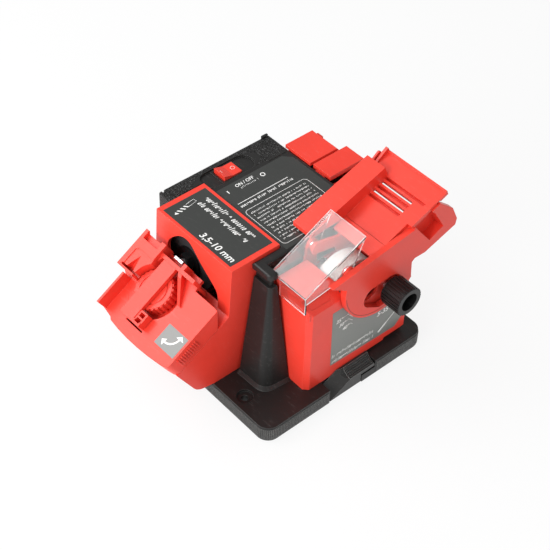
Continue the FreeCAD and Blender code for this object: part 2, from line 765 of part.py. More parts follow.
def top_edges(shape, z):
    """The outer edges that lie flat at one height."""
    return [e for e in shape.Edges if e.BoundBox.ZMin > z - 0.01 and e.BoundBox.ZMax < z + 0.01]


def stadium(x, y, length, width, z0, z1):
    r = width / 2
    middle = box(x - length / 2 + r, x + length / 2 - r, y - r, y + r, z0, z1)
    ends = [rod_z(x - length / 2 + r, y, z0, z1, r), rod_z(x + length / 2 - r, y, z0, z1, r)]
    return join([middle] + ends)


def top_label():
    return prism_xy(label_outline(RUN_FIT), BODY_TOP - LABEL_SINK, BODY_TOP - LABEL_SINK + LABEL_T)


def cable_gland():
    flange = rod_y(GLAND_X, BODY_Y1, BODY_Y1 + 2.5, GLAND_Z, GLAND_FLANGE_R)
    neck = rod_y(GLAND_X, BODY_Y1 - WALL - 2.5, BODY_Y1, GLAND_Z, GLAND_R)
    nose = Part.makeCone(6.5, 5.0, 9.0, V(GLAND_X, BODY_Y1 + 2.5, GLAND_Z), V(0, 1, 0))
    bore = rod_y(GLAND_X, BODY_Y1 - 10, BODY_Y1 + 15, GLAND_Z, GLAND_BORE_R)
    return join([flange, neck, nose]).cut(bore)


# The rocker switch

def rocker_floor():
    return BODY_TOP - DISH_DEPTH


def switch_body():
    half_l = ROCKER_L / 2
    half_w = ROCKER_W / 2
    top = rocker_floor() + 0.6
    frame = box(
        SWITCH_X - half_l - BEZEL, SWITCH_X + half_l + BEZEL, SWITCH_Y - half_w - BEZEL,
        SWITCH_Y + half_w + BEZEL, rocker_floor(), top,
    )
    shell = box(
        SWITCH_X - half_l - BEZEL / 2, SWITCH_X + half_l + BEZEL / 2, SWITCH_Y - half_w - BEZEL / 2,
        SWITCH_Y + half_w + BEZEL / 2, rocker_floor() - SWITCH_DEPTH, rocker_floor(),
    )
    room = box(
        SWITCH_X - half_l - ROCKER_GAP, SWITCH_X + half_l + ROCKER_GAP, SWITCH_Y - half_w - ROCKER_GAP,
        SWITCH_Y + half_w + ROCKER_GAP, rocker_floor() - 9, top + 1,
    )
    pin_hole = rod_y(SWITCH_X, SWITCH_Y - half_w - 0.9, SWITCH_Y + half_w + 0.9, ROCKER_AXIS_Z, 0.8 + RUN_FIT)
    return join([frame, shell]).cut(join([room, pin_hole]))


def switch_rocker():
    """A shallow V seen from the side, tipped so that its right end is down."""
    half = ROCKER_L / 2
    rise = ROCKER_RISE
    top = rise + math.tan(math.radians(ROCKER_TILT)) * half
    points = [(-half, top), (0, rise), (half, top), (half - 1.2, -2.0), (3.0, -4.5), (-3.0, -4.5), (-half + 1.2, -2.0)]
    rocker = prism_xz(points, SWITCH_Y - ROCKER_W / 2, SWITCH_Y + ROCKER_W / 2)
    pins = rod_y(0, SWITCH_Y - ROCKER_W / 2 - 0.8, SWITCH_Y + ROCKER_W / 2 + 0.8, 0, 0.8)
    rocker = join([rocker, pins])
    rocker.rotate(V(0, 0, 0), V(0, 1, 0), ROCKER_TILT)
    rocker.translate(V(SWITCH_X, 0, ROCKER_AXIS_Z))
    return rocker


def switch_tabs():
    z1 = rocker_floor() - SWITCH_DEPTH
    tabs = []
    for x in (-6.0, 0.0, 6.0):
        tabs.append(box(SWITCH_X + x - 0.4, SWITCH_X + x + 0.4, SWITCH_Y - 3.1, SWITCH_Y + 3.1, z1 - 8, z1))
    return group(tabs)


# The motor and the drive


def ring_y(x, y0, y1, z, r_out, r_in):
    return rod_y(x, y0, y1, z, r_out).cut(rod_y(x, y0 - 1, y1 + 1, z, r_in))


def ring_x(x0, x1, y, z, r_out, r_in):
    return rod_x(x0, x1, y, z, r_out).cut(rod_x(x0 - 1, x1 + 1, y, z, r_in))


def motor_bearings():
    r_in = SHAFT_R + RUN_FIT
    return group([
        ring_y(MOTOR_X, FRONT_BEARING_Y, FRONT_BEARING_Y + BEARING_L, AXIS_Z, BEARING_R, r_in),
        ring_y(MOTOR_X, REAR_BEARING_Y, REAR_BEARING_Y + BEARING_L, AXIS_Z, BEARING_R, r_in),
    ])


def bracket(y0):
    """An upright plate that holds a bearing, standing on the base plate."""
    half = BRACKET_W / 2
    plate = box(MOTOR_X - half, MOTOR_X + half, y0, y0 + BEARING_L, BASE_H, AXIS_Z + 18)
    bore = rod_y(MOTOR_X, y0 - 1, y0 + BEARING_L + 1, AXIS_Z, BEARING_R)
    window = box(MOTOR_X - half + 8, MOTOR_X + half - 8, y0 - 1, y0 + BEARING_L + 1, BASE_H + 10, AXIS_Z - 20)
    return plate.cut(join([bore, window]))


def front_bracket():
    half = BRACKET_W / 2
    plate = bracket(FRONT_BEARING_Y)
    front_screws = screw_places()[:2]
    x_left = front_screws[0][0] + SCREW_BOSS_R + FACE_GAP
    x_right = front_screws[1][0] - SCREW_BOSS_R - FACE_GAP
    trim = [
        box(MOTOR_X - half - 1, x_left, FRONT_BEARING_Y - 1, FRONT_BEARING_Y + BEARING_L + 1, BASE_H - 1, BASE_H + 17),
        box(x_right, MOTOR_X + half + 1, FRONT_BEARING_Y - 1, FRONT_BEARING_Y + BEARING_L + 1, BASE_H - 1, BASE_H + 17),
    ]
    return plate.cut(join(trim))


def rear_bracket():
    return bracket(REAR_BEARING_Y)


def field_stack():
    """The laminated field: a ring with flats, on a cradle that stands on the base plate."""
    ring = rod_y(MOTOR_X, STACK_Y0, STACK_Y1, AXIS_Z, STACK_R)
    ring = ring.cut(rod_y(MOTOR_X, STACK_Y0 - 1, STACK_Y1 + 1, AXIS_Z, COIL_R1 + 0.4))
    poles = []
    for side in (1, -1):
        pole = rod_y(MOTOR_X, STACK_Y0, STACK_Y1, AXIS_Z, COIL_R1 + 0.6)
        pole = pole.cut(rod_y(MOTOR_X, STACK_Y0 - 1, STACK_Y1 + 1, AXIS_Z, STACK_BORE_R))
        wedge = [(MOTOR_X, AXIS_Z), (MOTOR_X - 34, AXIS_Z + side * 34), (MOTOR_X + 34, AXIS_Z + side * 34)]
        poles.append(pole.common(prism_xz(wedge, STACK_Y0, STACK_Y1)))
    return join([ring] + poles)


def motor_cradle():
    """A saddle from the base plate up to the field, with a round seat."""
    block = box(MOTOR_X - 20, MOTOR_X + 20, STACK_Y0 + 3, STACK_Y1 - 3, BASE_H, AXIS_Z - 18)
    seat = rod_y(MOTOR_X, STACK_Y0, STACK_Y1, AXIS_Z, STACK_R)
    hollow = box(MOTOR_X - 16, MOTOR_X + 16, STACK_Y0, STACK_Y1, BASE_H + 4, AXIS_Z - STACK_R - 5)
    return block.cut(join([seat, hollow]))


def field_coils():
    """Two end rings and the bundles between the poles."""
    y0 = STACK_Y0 - COIL_OVERHANG
    y1 = STACK_Y1 + COIL_OVERHANG
    pieces = [
        ring_y(MOTOR_X, y0, STACK_Y0, AXIS_Z, COIL_R1, COIL_R0),
        ring_y(MOTOR_X, STACK_Y1, y1, AXIS_Z, COIL_R1, COIL_R0),
    ]
    bundle = ring_y(MOTOR_X, y0, y1, AXIS_Z, COIL_R1, COIL_R0)
    for side in (1, -1):
        wedge = [
            (MOTOR_X, AXIS_Z), (MOTOR_X + side * 32, AXIS_Z - 30), (MOTOR_X + side * 32, AXIS_Z + 30),
        ]
        pieces.append(bundle.common(prism_xz(wedge, y0, y1)))
    return join(pieces)


def armature_core():
    core = rod_y(MOTOR_X, STACK_Y0, STACK_Y1, AXIS_Z, CORE_R)
    cuts = [rod_y(MOTOR_X, STACK_Y0 - 1, STACK_Y1 + 1, AXIS_Z, SHAFT_R)]
    for i in range(CORE_SLOTS):
        a = 2 * math.pi * i / CORE_SLOTS
        x = MOTOR_X + math.cos(a) * (CORE_R - 2.5)
        z = AXIS_Z + math.sin(a) * (CORE_R - 2.5)
        cuts.append(rod_y(x, STACK_Y0 - 1, STACK_Y1 + 1, z, 1.8))
    return core.cut(join(cuts))


def armature_windings():
    r_in = SHAFT_R
    front = ring_y(MOTOR_X, STACK_Y0 - WINDING_L, STACK_Y0, AXIS_Z, WINDING_R, r_in)
    rear = ring_y(MOTOR_X, STACK_Y1, STACK_Y1 + WINDING_L, AXIS_Z, WINDING_R, r_in)
    return group([soften(front, 1.5), soften(rear, 1.5)])


def soften(shape, radius):
    """Rounds the outer round edges of a ring."""
    biggest = max(e.BoundBox.DiagonalLength for e in shape.Edges)
    rims = [e for e in shape.Edges if e.BoundBox.DiagonalLength > biggest - 0.1 and e.isClosed()]
    return shape.makeFillet(radius, rims)


def commutator():
    y1 = COMMUTATOR_Y0 + COMMUTATOR_L
    drum = ring_y(MOTOR_X, COMMUTATOR_Y0, y1, AXIS_Z, COMMUTATOR_R, SHAFT_R)
    cuts = []
    for i in range(COMMUTATOR_BARS):
        groove = box(COMMUTATOR_R - 0.8, COMMUTATOR_R + 1, COMMUTATOR_Y0 - 1, y1 + 1, -0.25, 0.25)
        groove.rotate(V(0, 0, 0), V(0, 1, 0), 360.0 * i / COMMUTATOR_BARS + 15)
        groove.translate(V(MOTOR_X, 0, AXIS_Z))
        cuts.append(groove)
    return drum.cut(join(cuts))


def brush_places():
    return ((1, MOTOR_X + COMMUTATOR_R + BRUSH_GAP), (-1, MOTOR_X - COMMUTATOR_R - BRUSH_GAP))


def carbon_brushes():
    y0 = COMMUTATOR_Y0 + 0.6
    y1 = COMMUTATOR_Y0 + COMMUTATOR_L - 0.6
    brushes = []
    for side, x in brush_places():
        ends = sorted((x, x + side * BRUSH_L))
        brush = box(ends[0], ends[1], y0, y1, AXIS_Z - BRUSH_H / 2, AXIS_Z + BRUSH_H / 2)
        brushes.append(brush.cut(rod_y(MOTOR_X, y0 - 1, y1 + 1, AXIS_Z, COMMUTATOR_R + BRUSH_GAP)))
    return group(brushes)


def brush_holders():
    """Brass boxes round the brushes, which stand on arms from the front bracket."""
    y0 = COMMUTATOR_Y0 + 0.6
    y1 = COMMUTATOR_Y0 + COMMUTATOR_L - 0.6
    holders = []
    for side, x in brush_places():
        ends = sorted((x + side * 2.0, x + side * (2.0 + HOLDER_L)))
        tube = box(ends[0], ends[1], FRONT_BEARING_Y + BEARING_L, y1 + 1.2, AXIS_Z - BRUSH_H / 2 - 1.2, AXIS_Z + BRUSH_H / 2 + 1.2)
        ends = sorted((x - side, x + side * (2.0 + HOLDER_L - 1.2)))
        room = box(ends[0], ends[1], y0, y1, AXIS_Z - BRUSH_H / 2, AXIS_Z + BRUSH_H / 2)
        holders.append(tube.cut(room))
    return group(holders)


def motor_shaft():
    front = CHISEL_WHEEL_Y - FLANGE_T - NUT_H - 1.0
    shaft = rod_y(MOTOR_X, front, PINION_BACK_Y + GEAR_FACE, AXIS_Z, SHAFT_R)
    collar = rod_y(MOTOR_X, CHISEL_WHEEL_Y + WHEEL_W + FLANGE_T, FRONT_BEARING_Y - FACE_GAP, AXIS_Z, SHAFT_R + 1.2)
    return join([shaft, collar])


def fan():
    hub = rod_y(MOTOR_X, FAN_Y0, FAN_Y0 + FAN_L, AXIS_Z, SHAFT_R + 3)
    disc = rod_y(MOTOR_X, FAN_Y0 + FAN_L - 1.2, FAN_Y0 + FAN_L, AXIS_Z, FAN_R)
    blades = []
    for i in range(FAN_BLADES):
        blade = box(SHAFT_R + 2, FAN_R - 0.5, FAN_Y0 + 0.2, FAN_Y0 + FAN_L - 1, -0.6, 0.6)
        blade.rotate(V(0, 0, 0), V(0, 1, 0), 360.0 * i / FAN_BLADES)
        blade.translate(V(MOTOR_X, 0, AXIS_Z))
        blades.append(blade)
    return join([hub, disc] + blades).cut(rod_y(MOTOR_X, FAN_Y0 - 1, FAN_Y0 + FAN_L + 1, AXIS_Z, SHAFT_R))


def bevel(phase):
    """A straight bevel gear on the Z axis: its cone's tip is at the origin, its teeth face up."""
    r_big = GEAR_PITCH_R
    r_small = GEAR_PITCH_R - GEAR_FACE
    drop = math.sqrt(0.5)

    def at(radius, height, half_width):
        """A tooth corner: out along the cone's face, then square to it."""
        out = radius + height * drop
        down = -radius + height * drop
        return V(out, half_width, down)

    root_big = r_big - GEAR_DEDENDUM * drop
    root_small = r_small - GEAR_DEDENDUM * drop * r_small / r_big
    z_big = -r_big - GEAR_DEDENDUM * drop
    z_small = -r_small - GEAR_DEDENDUM * drop * r_small / r_big
    blank = Part.makeCone(root_big, root_small, z_small - z_big, V(0, 0, z_big), V(0, 0, 1))
    back = rod_z(0, 0, z_big - 2.0, z_big, root_big)
    teeth = []
    for i in range(GEAR_TEETH):
        wires = []
        for radius in (r_big, r_small):
            k = radius / r_big
            half = GEAR_TOOTH_W / 2 * k
            low = -(GEAR_DEDENDUM + 0.5) * k
            high = GEAR_ADDENDUM * k
            corners = [
                at(radius, low, -half * 1.35), at(radius, high, -half * 0.6),
                at(radius, high, half * 0.6), at(radius, low, half * 1.35),
            ]
            wires.append(Part.makePolygon(corners + corners[:1]))
        tooth = Part.makeLoft(wires, True, True)
        tooth.rotate(V(0, 0, 0), V(0, 0, 1), 360.0 * (i + phase) / GEAR_TEETH)
        teeth.append(tooth)
    gear = join([blank, back] + teeth)
    return gear.cut(rod_z(0, 0, -40, 10, SHAFT_R))


def bevel_pinion():
    """On the motor shaft, pointing back to where the two shafts' lines cross."""
    gear = bevel(0.0)
    gear.rotate(V(0, 0, 0), V(1, 0, 0), -90)
    gear.translate(V(MOTOR_X, CROSS_Y, AXIS_Z))
    return gear


def bevel_gear():
    """On the cross shaft, left of the crossing."""
    gear = bevel(0.0)
    gear.rotate(V(0, 0, 0), V(0, 1, 0), 90)
    gear.translate(V(MOTOR_X, CROSS_Y, AXIS_Z))
    return gear


def cross_shaft():
    x0 = DRILL_WHEEL_X - FLANGE_T - NUT_H - 1.0
    x1 = KNIFE_WHEEL_X + WHEEL_W + FLANGE_T + NUT_H + 1.5
    shaft = rod_x(x0, x1, CROSS_Y, AXIS_Z, SHAFT_R)
    left = rod_x(DRILL_WHEEL_X + WHEEL_W + FLANGE_T, BAY_X + WALL - FACE_GAP, CROSS_Y, AXIS_Z, SHAFT_R + 1.2)
    right = rod_x(BODY_X1 - WALL + FACE_GAP, KNIFE_WHEEL_X - FLANGE_T, CROSS_Y, AXIS_Z, SHAFT_R + 1.2)
    return join([shaft, left, right])


def cross_bearings():
    r_in = SHAFT_R + RUN_FIT
    x_left = BAY_X + WALL
    x_right = BODY_X1 - WALL - BEARING_L
    return group([
        ring_x(x_left, x_left + BEARING_L, CROSS_Y, AXIS_Z, BEARING_R, r_in),
        ring_x(x_right, x_right + BEARING_L, CROSS_Y, AXIS_Z, BEARING_R, r_in),
    ])


def bearing_carriers():
    """Two upright blocks against the side walls that hold the cross shaft's bearings."""
    carriers = []
    for x0 in (BAY_X + WALL, BODY_X1 - WALL - BEARING_L):
        block = box(x0, x0 + BEARING_L, CROSS_Y - 13, CROSS_Y + 13, BASE_H, AXIS_Z + 15)
        bore = rod_x(x0 - 1, x0 + BEARING_L + 1, CROSS_Y, AXIS_Z, BEARING_R)
        carriers.append(block.cut(bore))
    return group(carriers)


# Grinding wheels, flanges and nuts

def grinding_wheel(width, radius=WHEEL_R):
    wheel = rod_z(0, 0, 0, width, radius)
    wheel = soften(wheel, WHEEL_FILLET)
    return wheel.cut(rod_z(0, 0, -1, width + 1, SHAFT_R))


def chisel_wheel():
    wheel = grinding_wheel(WHEEL_W)
    wheel.rotate(V(0, 0, 0), V(1, 0, 0), -90)
    wheel.translate(V(MOTOR_X, CHISEL_WHEEL_Y, AXIS_Z))
    return wheel


def side_wheel(x0, radius):
    wheel = grinding_wheel(WHEEL_W, radius)
    wheel.rotate(V(0, 0, 0), V(0, 1, 0), 90)
    wheel.translate(V(x0, CROSS_Y, AXIS_Z))
    return wheel


def chisel_flanges():
    y = CHISEL_WHEEL_Y
    return group([
        ring_y(MOTOR_X, y - FLANGE_T, y, AXIS_Z, FLANGE_R, SHAFT_R),
        ring_y(MOTOR_X, y + WHEEL_W, y + WHEEL_W + FLANGE_T, AXIS_Z, FLANGE_R, SHAFT_R),
    ])


def side_flanges():
    rings = []
    for x in (DRILL_WHEEL_X, KNIFE_WHEEL_X):
        rings.append(ring_x(x - FLANGE_T, x, CROSS_Y, AXIS_Z, FLANGE_R, SHAFT_R))
        rings.append(ring_x(x + WHEEL_W, x + WHEEL_W + FLANGE_T, CROSS_Y, AXIS_Z, FLANGE_R, SHAFT_R))
    return group(rings)


def chisel_nut():
    y = CHISEL_WHEEL_Y - FLANGE_T - NUT_H
    nut = hexagon(NUT_AF, NUT_H, V(MOTOR_X, y, AXIS_Z), V(0, 1, 0))
    return nut.cut(rod_y(MOTOR_X, y - 1, y + NUT_H + 1, AXIS_Z, SHAFT_R))


def side_nuts():
    nuts = []
    for x in (DRILL_WHEEL_X - FLANGE_T - NUT_H, KNIFE_WHEEL_X + WHEEL_W + FLANGE_T):
        nut = hexagon(NUT_AF, NUT_H, V(x, CROSS_Y, AXIS_Z), V(1, 0, 0))
        nuts.append(nut.cut(rod_x(x - 1, x + NUT_H + 1, CROSS_Y, AXIS_Z, SHAFT_R)))
    return group(nuts)


# The drill module

def drill_profile():
    """The module seen from the front: an upright box with a sloping nose on its left."""
    top_depth = HEAD_DEPTH + FACE_GAP
    return [
        (BAY_X - FACE_GAP, BASE_H), (NOSE_FOOT[0] + 2, BASE_H), NOSE_FOOT,
        slope_point(NOSE_S, -NOSE_DEPTH), slope_point(NOSE_S, -top_depth),
        slope_point(20.6, -top_depth), (DRILL_X0, DRILL_TOP), (BAY_X - FACE_GAP, DRILL_TOP),
    ]


def drill_hollow():
    """The profile's inside, with its walls' thickness left out."""
    w = WALL
    top_depth = HEAD_DEPTH + FACE_GAP
    return [
        (BAY_X + 1, BASE_H + w), (NOSE_FOOT[0] + 1, BASE_H + w), (NOSE_FOOT[0] - 8.0, BASE_H + w + 3.0),
        slope_point(NOSE_S + w, -NOSE_DEPTH + 4.0), slope_point(NOSE_S + w, -top_depth - w),
        slope_point(20.6 + 2.0, -top_depth - w), (DRILL_X0 + w, DRILL_TOP - w), (BAY_X + 1, DRILL_TOP - w),
    ]


def arch_block(x0, x1):
    """The opening in the module's left face, round at the top and open downwards."""
    curve = Part.BSplineCurve()
    curve.interpolate([V(x0, y, z) for y, z in ARCH_POINTS])
    first = V(x0, *ARCH_POINTS[0])
    last = V(x0, *ARCH_POINTS[-1])
    legs = Part.makePolygon([last, V(x0, last.y, 70.0), V(x0, first.y, 70.0), first])
    return Part.Face(Part.Wire([curve.toShape()] + legs.Edges)).extrude(V(x1 - x0, 0, 0))


def round_nose(shell):
    """Rounds the lower edge of the sloping nose."""
    tip_x = slope_point(NOSE_S, -NOSE_DEPTH)[0]
    tip = [e for e in shell.Edges if abs(e.BoundBox.XMin - tip_x) < 0.01 and abs(e.BoundBox.XMax - tip_x) < 0.01]
    return shell.makeFillet(NOSE_ROUND, tip)


def drill_housing():
    shell = round_nose(prism_xz(drill_profile(), DRILL_Y0, DRILL_Y1))
    hollow = prism_xz(drill_hollow(), DRILL_Y0 + WALL, DRILL_Y1 - WALL)
    shell = shell.cut(hollow)
    pin_pad = on_head(rod_z(HEAD_PIVOT_S, HEAD_PIVOT_Y, -HEAD_DEPTH - FACE_GAP - 6, -HEAD_DEPTH - FACE_GAP - 1, HEAD_BOSS_R))
    shell = join([shell, pin_pad])
    arch = arch_block(slope_point(20.6, 0)[0] - 6, DRILL_X0 + WALL + 2)
    keep_low = prism_xz(
        [slope_point(-60, -HEAD_DEPTH - FACE_GAP), slope_point(60, -HEAD_DEPTH - FACE_GAP), (80, -20), (-60, -20)],
        DRILL_Y0 - 1, DRILL_Y1 + 1,
    )
    cuts = [arch.cut(keep_low)]
    cuts.append(on_head(rod_z(HEAD_PIVOT_S, HEAD_PIVOT_Y, -HEAD_DEPTH - 12, 0, HEAD_PIN_R)))
    cuts.append(drill_label_block(0.0, LABEL_SINK + 2))
    return shell.cut(join(cuts)).removeSplitter()


def drill_label_block(inset, height):
    x0 = DRILL_X0 + DRILL_LABEL_MARGIN_X + inset
    x1 = BAY_X - FACE_GAP - DRILL_LABEL_MARGIN_X - inset
    y0 = DRILL_Y0 + DRILL_LABEL_MARGIN_Y + inset
    y1 = DRILL_Y1 - DRILL_LABEL_MARGIN_Y - inset
    z0 = DRILL_TOP - LABEL_SINK
    return box(x0, x1, y0, y1, z0, z0 + height)


def drill_label():
    return drill_label_block(RUN_FIT, LABEL_T)


def head_pivot_pin():
    low = -HEAD_DEPTH - FACE_GAP - 6
    pin = rod_z(HEAD_PIVOT_S, HEAD_PIVOT_Y, low, -WELL_FLOOR - 3.0, HEAD_PIN_R)
    cap = rod_z(HEAD_PIVOT_S, HEAD_PIVOT_Y, low - 2, low, HEAD_PIN_R + 2)
    return on_head(join([pin, cap]))


def head_outline(inset):
    """The slab's plan as s, y points, from its lower right corner round its bowed lower edge."""
    k = inset
    low_edge = [(-35.4, 60.6), (-37.0, 69.0), (-38.2, 80.0), (-38.9, 92.0), (-39.0, 104.0), (-38.5, 115.0), (-37.4, 125.0)]
    points = [(s + k, y + (k if i == 0 else 0)) for i, (s, y) in enumerate(low_edge)]
    points += [(-35.6 + k, 127.5), (-33.6 + k, 139.3 - k), (-7.0 - k, 139.3 - k), (-3.0 + k, 146.2 - k)]
    points += [(28.0 - k, 146.2 - k), (28.0 - k, 120.0), (23.0 - k, 86.0), (18.4 - k, DRILL_Y0 + k)]
    return points


def on_corner_strip():
    """The slanted outer top edge of the head's left wall."""
    return prism_yz(
        [(136.9, SIDE_WALL_TOP + 1), (136.9, SIDE_WALL_TOP), (139.3, SIDE_WALL_TOP - 4.5), (141, SIDE_WALL_TOP - 4.5), (141, SIDE_WALL_TOP + 1)],
        -40, 0,
    )


def drill_head():
    slab = rounded_at(prism_xy(head_outline(0), -HEAD_DEPTH, 0), HEAD_CORNER, [head_outline(0)[0]])
    slab = slab.cut(prism_xy(head_outline(HEAD_SKIN), -HEAD_DEPTH - 1, -HEAD_SKIN))
    cup = rod_z(0, 111.6, -WELL_FLOOR - 2, -1, WHEEL_WELL_R + 2)
    boss = rod_z(HEAD_PIVOT_S, HEAD_PIVOT_Y, -HEAD_DEPTH, -2, HEAD_BOSS_R)
    wall = box(-33.6, -5, 135.0, 139.3, -1, SIDE_WALL_TOP)
    wall = wall.cut(on_corner_strip())
    platform = box(-3, 30, 123.0, 146.2, -1, SIDE_WALL_TOP)
    platform = platform.cut(box(23.3, 31, 126.9, 143.2, PLATFORM_STEP, SIDE_WALL_TOP + 1))
    platform = platform.cut(box(-1.3, 0.4, 124.8, 143.2, 3.0, SIDE_WALL_TOP + 1))
    cross = box(21.5, 24.5, 86, 124, -2, BRIDGE_TOP)
    left_block = box(21.5, 29.4, 123.6, 127.0, -4.4, BRIDGE_TOP)
    right_block = box(23.5, 28.8, 99.4, 102.8, -4.4, BRIDGE_TOP)
    shelf = box(20, 28, 88.0, 130.5, -4.4, -1.3)
    gusset_r = prism_xy([(21.5, 99.0), (21.5, 103.0), (3.0, 88.5), (3.0, 86.0)], -1, BRIDGE_TOP - 1)
    gusset_l = prism_xy([(21.5, 121.5), (21.5, 125.0), (0.0, 132.5), (0.0, 130.0)], -1, BRIDGE_TOP - 1)
    slope_cut = prism_xz([(-2, 0), (-2, 14), (21.5, 14), (21.5, BRIDGE_TOP)], 80, 123)
    gussets = join([gusset_r, gusset_l.common(box(-5, 30, 100, 123.5, -2, 20))]).cut(slope_cut)
    ribs = []
    for i in range(HEAD_RIBS):
        s = -27.0 + i * HEAD_RIB_PITCH
        ribs.append(box(s, s + 1.0, DRILL_Y0 - HEAD_RIB_H, DRILL_Y0 + 0.5, -HEAD_RIB_L - 3.6, -3.6))
    head = join([slab, cup, boss, wall, platform, cross, left_block, right_block, shelf, gussets] + ribs)
    well = rod_z(0, 111.6, -WELL_FLOOR, 20, WHEEL_WELL_R)
    well = well.cut(box(21.4, 60, 60, 160, -20, 30)).cut(box(-60, 60, 123.0, 160, -0.01, 30))
    well = well.cut(gussets)
    bite = rod_z(0, 111.6, -0.02, SIDE_WALL_TOP + 1, THUMB_R + 1.0)
    recess = prism_xy([(0.0, 122.0), (15.7, 122.0), (15.7, 139.9), (13.6, 141.8), (0.0, 141.8)], POINTER_Z, 20)
    pointer = prism_xz([(12.4, POINTER_Z), (-0.4, POINTER_Z - 6.4), (-0.4, POINTER_Z + 1), (12.4, POINTER_Z + 1)], 124, 144)
    pointer = pointer.common(prism_xy([(-0.4, 130.5), (12.4, 134.4), (-0.4, 138.7)], 0, 20))
    slot = box(-29.2, -27.9, 97.0, 115.5, -HEAD_SKIN - 1, 1)
    jaw_room = box(24.5, 34, 102.8, 123.6, -1.3, BRIDGE_TOP + 1)
    pin_hole = rod_z(HEAD_PIVOT_S, HEAD_PIVOT_Y, -HEAD_DEPTH - 1, -WELL_FLOOR - 2.6, HEAD_PIN_R + RUN_FIT)
    arrow = box(*ARROW_S, *ARROW_Y, -LABEL_SINK, 1)
    head = head.cut(join([well, bite, recess, pointer, slot, jaw_room, pin_hole, arrow]))
    head = on_head(head)
    upright = join([
        box(4.6, 60, DRILL_Y0 - 2, 86.0, 20, 130),
        box(8.4, 60, 130.5, 148, 20, 130),
        box(14.2, 60, 80.0, 140, 20, 91.6),
    ])
    return head.cut(upright).removeSplitter()


def arrow_plate():
    k = RUN_FIT
    plate = box(
        ARROW_S[0] + k, ARROW_S[1] - k, ARROW_Y[0] + k, ARROW_Y[1] - k, -LABEL_SINK, -LABEL_SINK + LABEL_T,
    )
    return on_head(plate)


def thumb_wheel():
    """The knurled clamp wheel, lying in its well."""
    z0 = -WELL_FLOOR + SLIDE_GAP
    wheel = rod_z(0, 0, z0 + 2, THUMB_TOP, THUMB_R - 0.9)
    hub = rod_z(0, 0, z0, z0 + 2.5, 7.0)
    teeth = []
    for i in range(THUMB_TEETH):
        tooth = box(THUMB_R - 1.8, THUMB_R, -THUMB_TOOTH_W / 2, THUMB_TOOTH_W / 2, z0 + 2, THUMB_TOP - 0.6)
        tooth.rotate(V(0, 0, 0), V(0, 0, 1), 360.0 * i / THUMB_TEETH)
        teeth.append(tooth)
    groove = rod_z(0, 0, THUMB_TOP - 0.8, THUMB_TOP + 1, THUMB_GROOVE_R + 0.6)
    groove = groove.cut(rod_z(0, 0, THUMB_TOP - 2, THUMB_TOP + 2, THUMB_GROOVE_R - 0.6))
    bore = rod_z(0, 0, z0 - 1, THUMB_TOP + 1, THUMB_PIN_R + RUN_FIT)
    wheel = join([wheel, hub] + teeth).cut(join([groove, bore]))
    wheel.translate(V(0, 111.6, 0))
    return on_head(wheel)


def thumb_pin():
    """The steel pin that the clamp wheel turns on, held in the well's floor and the bridge."""
    return on_head(rod_z(0, 111.6, -WELL_FLOOR, BRIDGE_UNDER, THUMB_PIN_R))


def clamp_bridge():
    """The bar over the clamp wheel, with its foot at the lower end."""
    y1 = BRIDGE_Y0 + BRIDGE_W
    bar = box(-27.0, 21.5, BRIDGE_Y0, y1, BRIDGE_UNDER, BRIDGE_TOP)
    foot = box(-27.0, -24.2, BRIDGE_Y0 - 8.0, y1, 0, BRIDGE_TOP)
    side = box(-27.0, -16.2, BRIDGE_Y0 - 8.0, BRIDGE_Y0 + 0.5, BRIDGE_UNDER - 4.0, BRIDGE_TOP - 0.8)
    windows = []
    for s in (-25.4, -20.8):
        windows.append(box(s, s + 3.3, BRIDGE_Y0 - 6.4, BRIDGE_Y0 - 1.6, BRIDGE_UNDER - 2.6, BRIDGE_TOP + 1))
    return on_head(join([bar, foot, side]).cut(join(windows)))


def clamp_jaw(side):
    """One steel jaw with a V notch; side is 1 for the one at the back."""
    middle = 111.8
    y_in = middle + side * JAW_GAP / 2
    y_out = y_in + side * JAW_W
    ends = sorted((y_in, y_out))
    jaw = box(JAW_S, JAW_S + JAW_T, ends[0], ends[1], -1.0, JAW_TOP)
    h = JAW_TOP / 2 - 0.5
    notch = prism_yz([(y_in - side, h - 2.2), (y_in + side * 1.4, h), (y_in - side, h + 2.2)], 20, 40)
    return on_head(jaw.cut(notch))


# The chisel module

def chisel_plan(inset):
    b = CHISEL_BEVEL
    return [
        (CHISEL_X0 + inset, CHISEL_Y1 - inset), (CHISEL_X0 + inset, CHISEL_Y0 + b + inset * 0.4),
        (CHISEL_X0 + b + inset * 0.4, CHISEL_Y0 + inset), (CHISEL_X1 - inset, CHISEL_Y0 + inset),
        (CHISEL_X1 - inset, CHISEL_Y1 - inset),
    ]


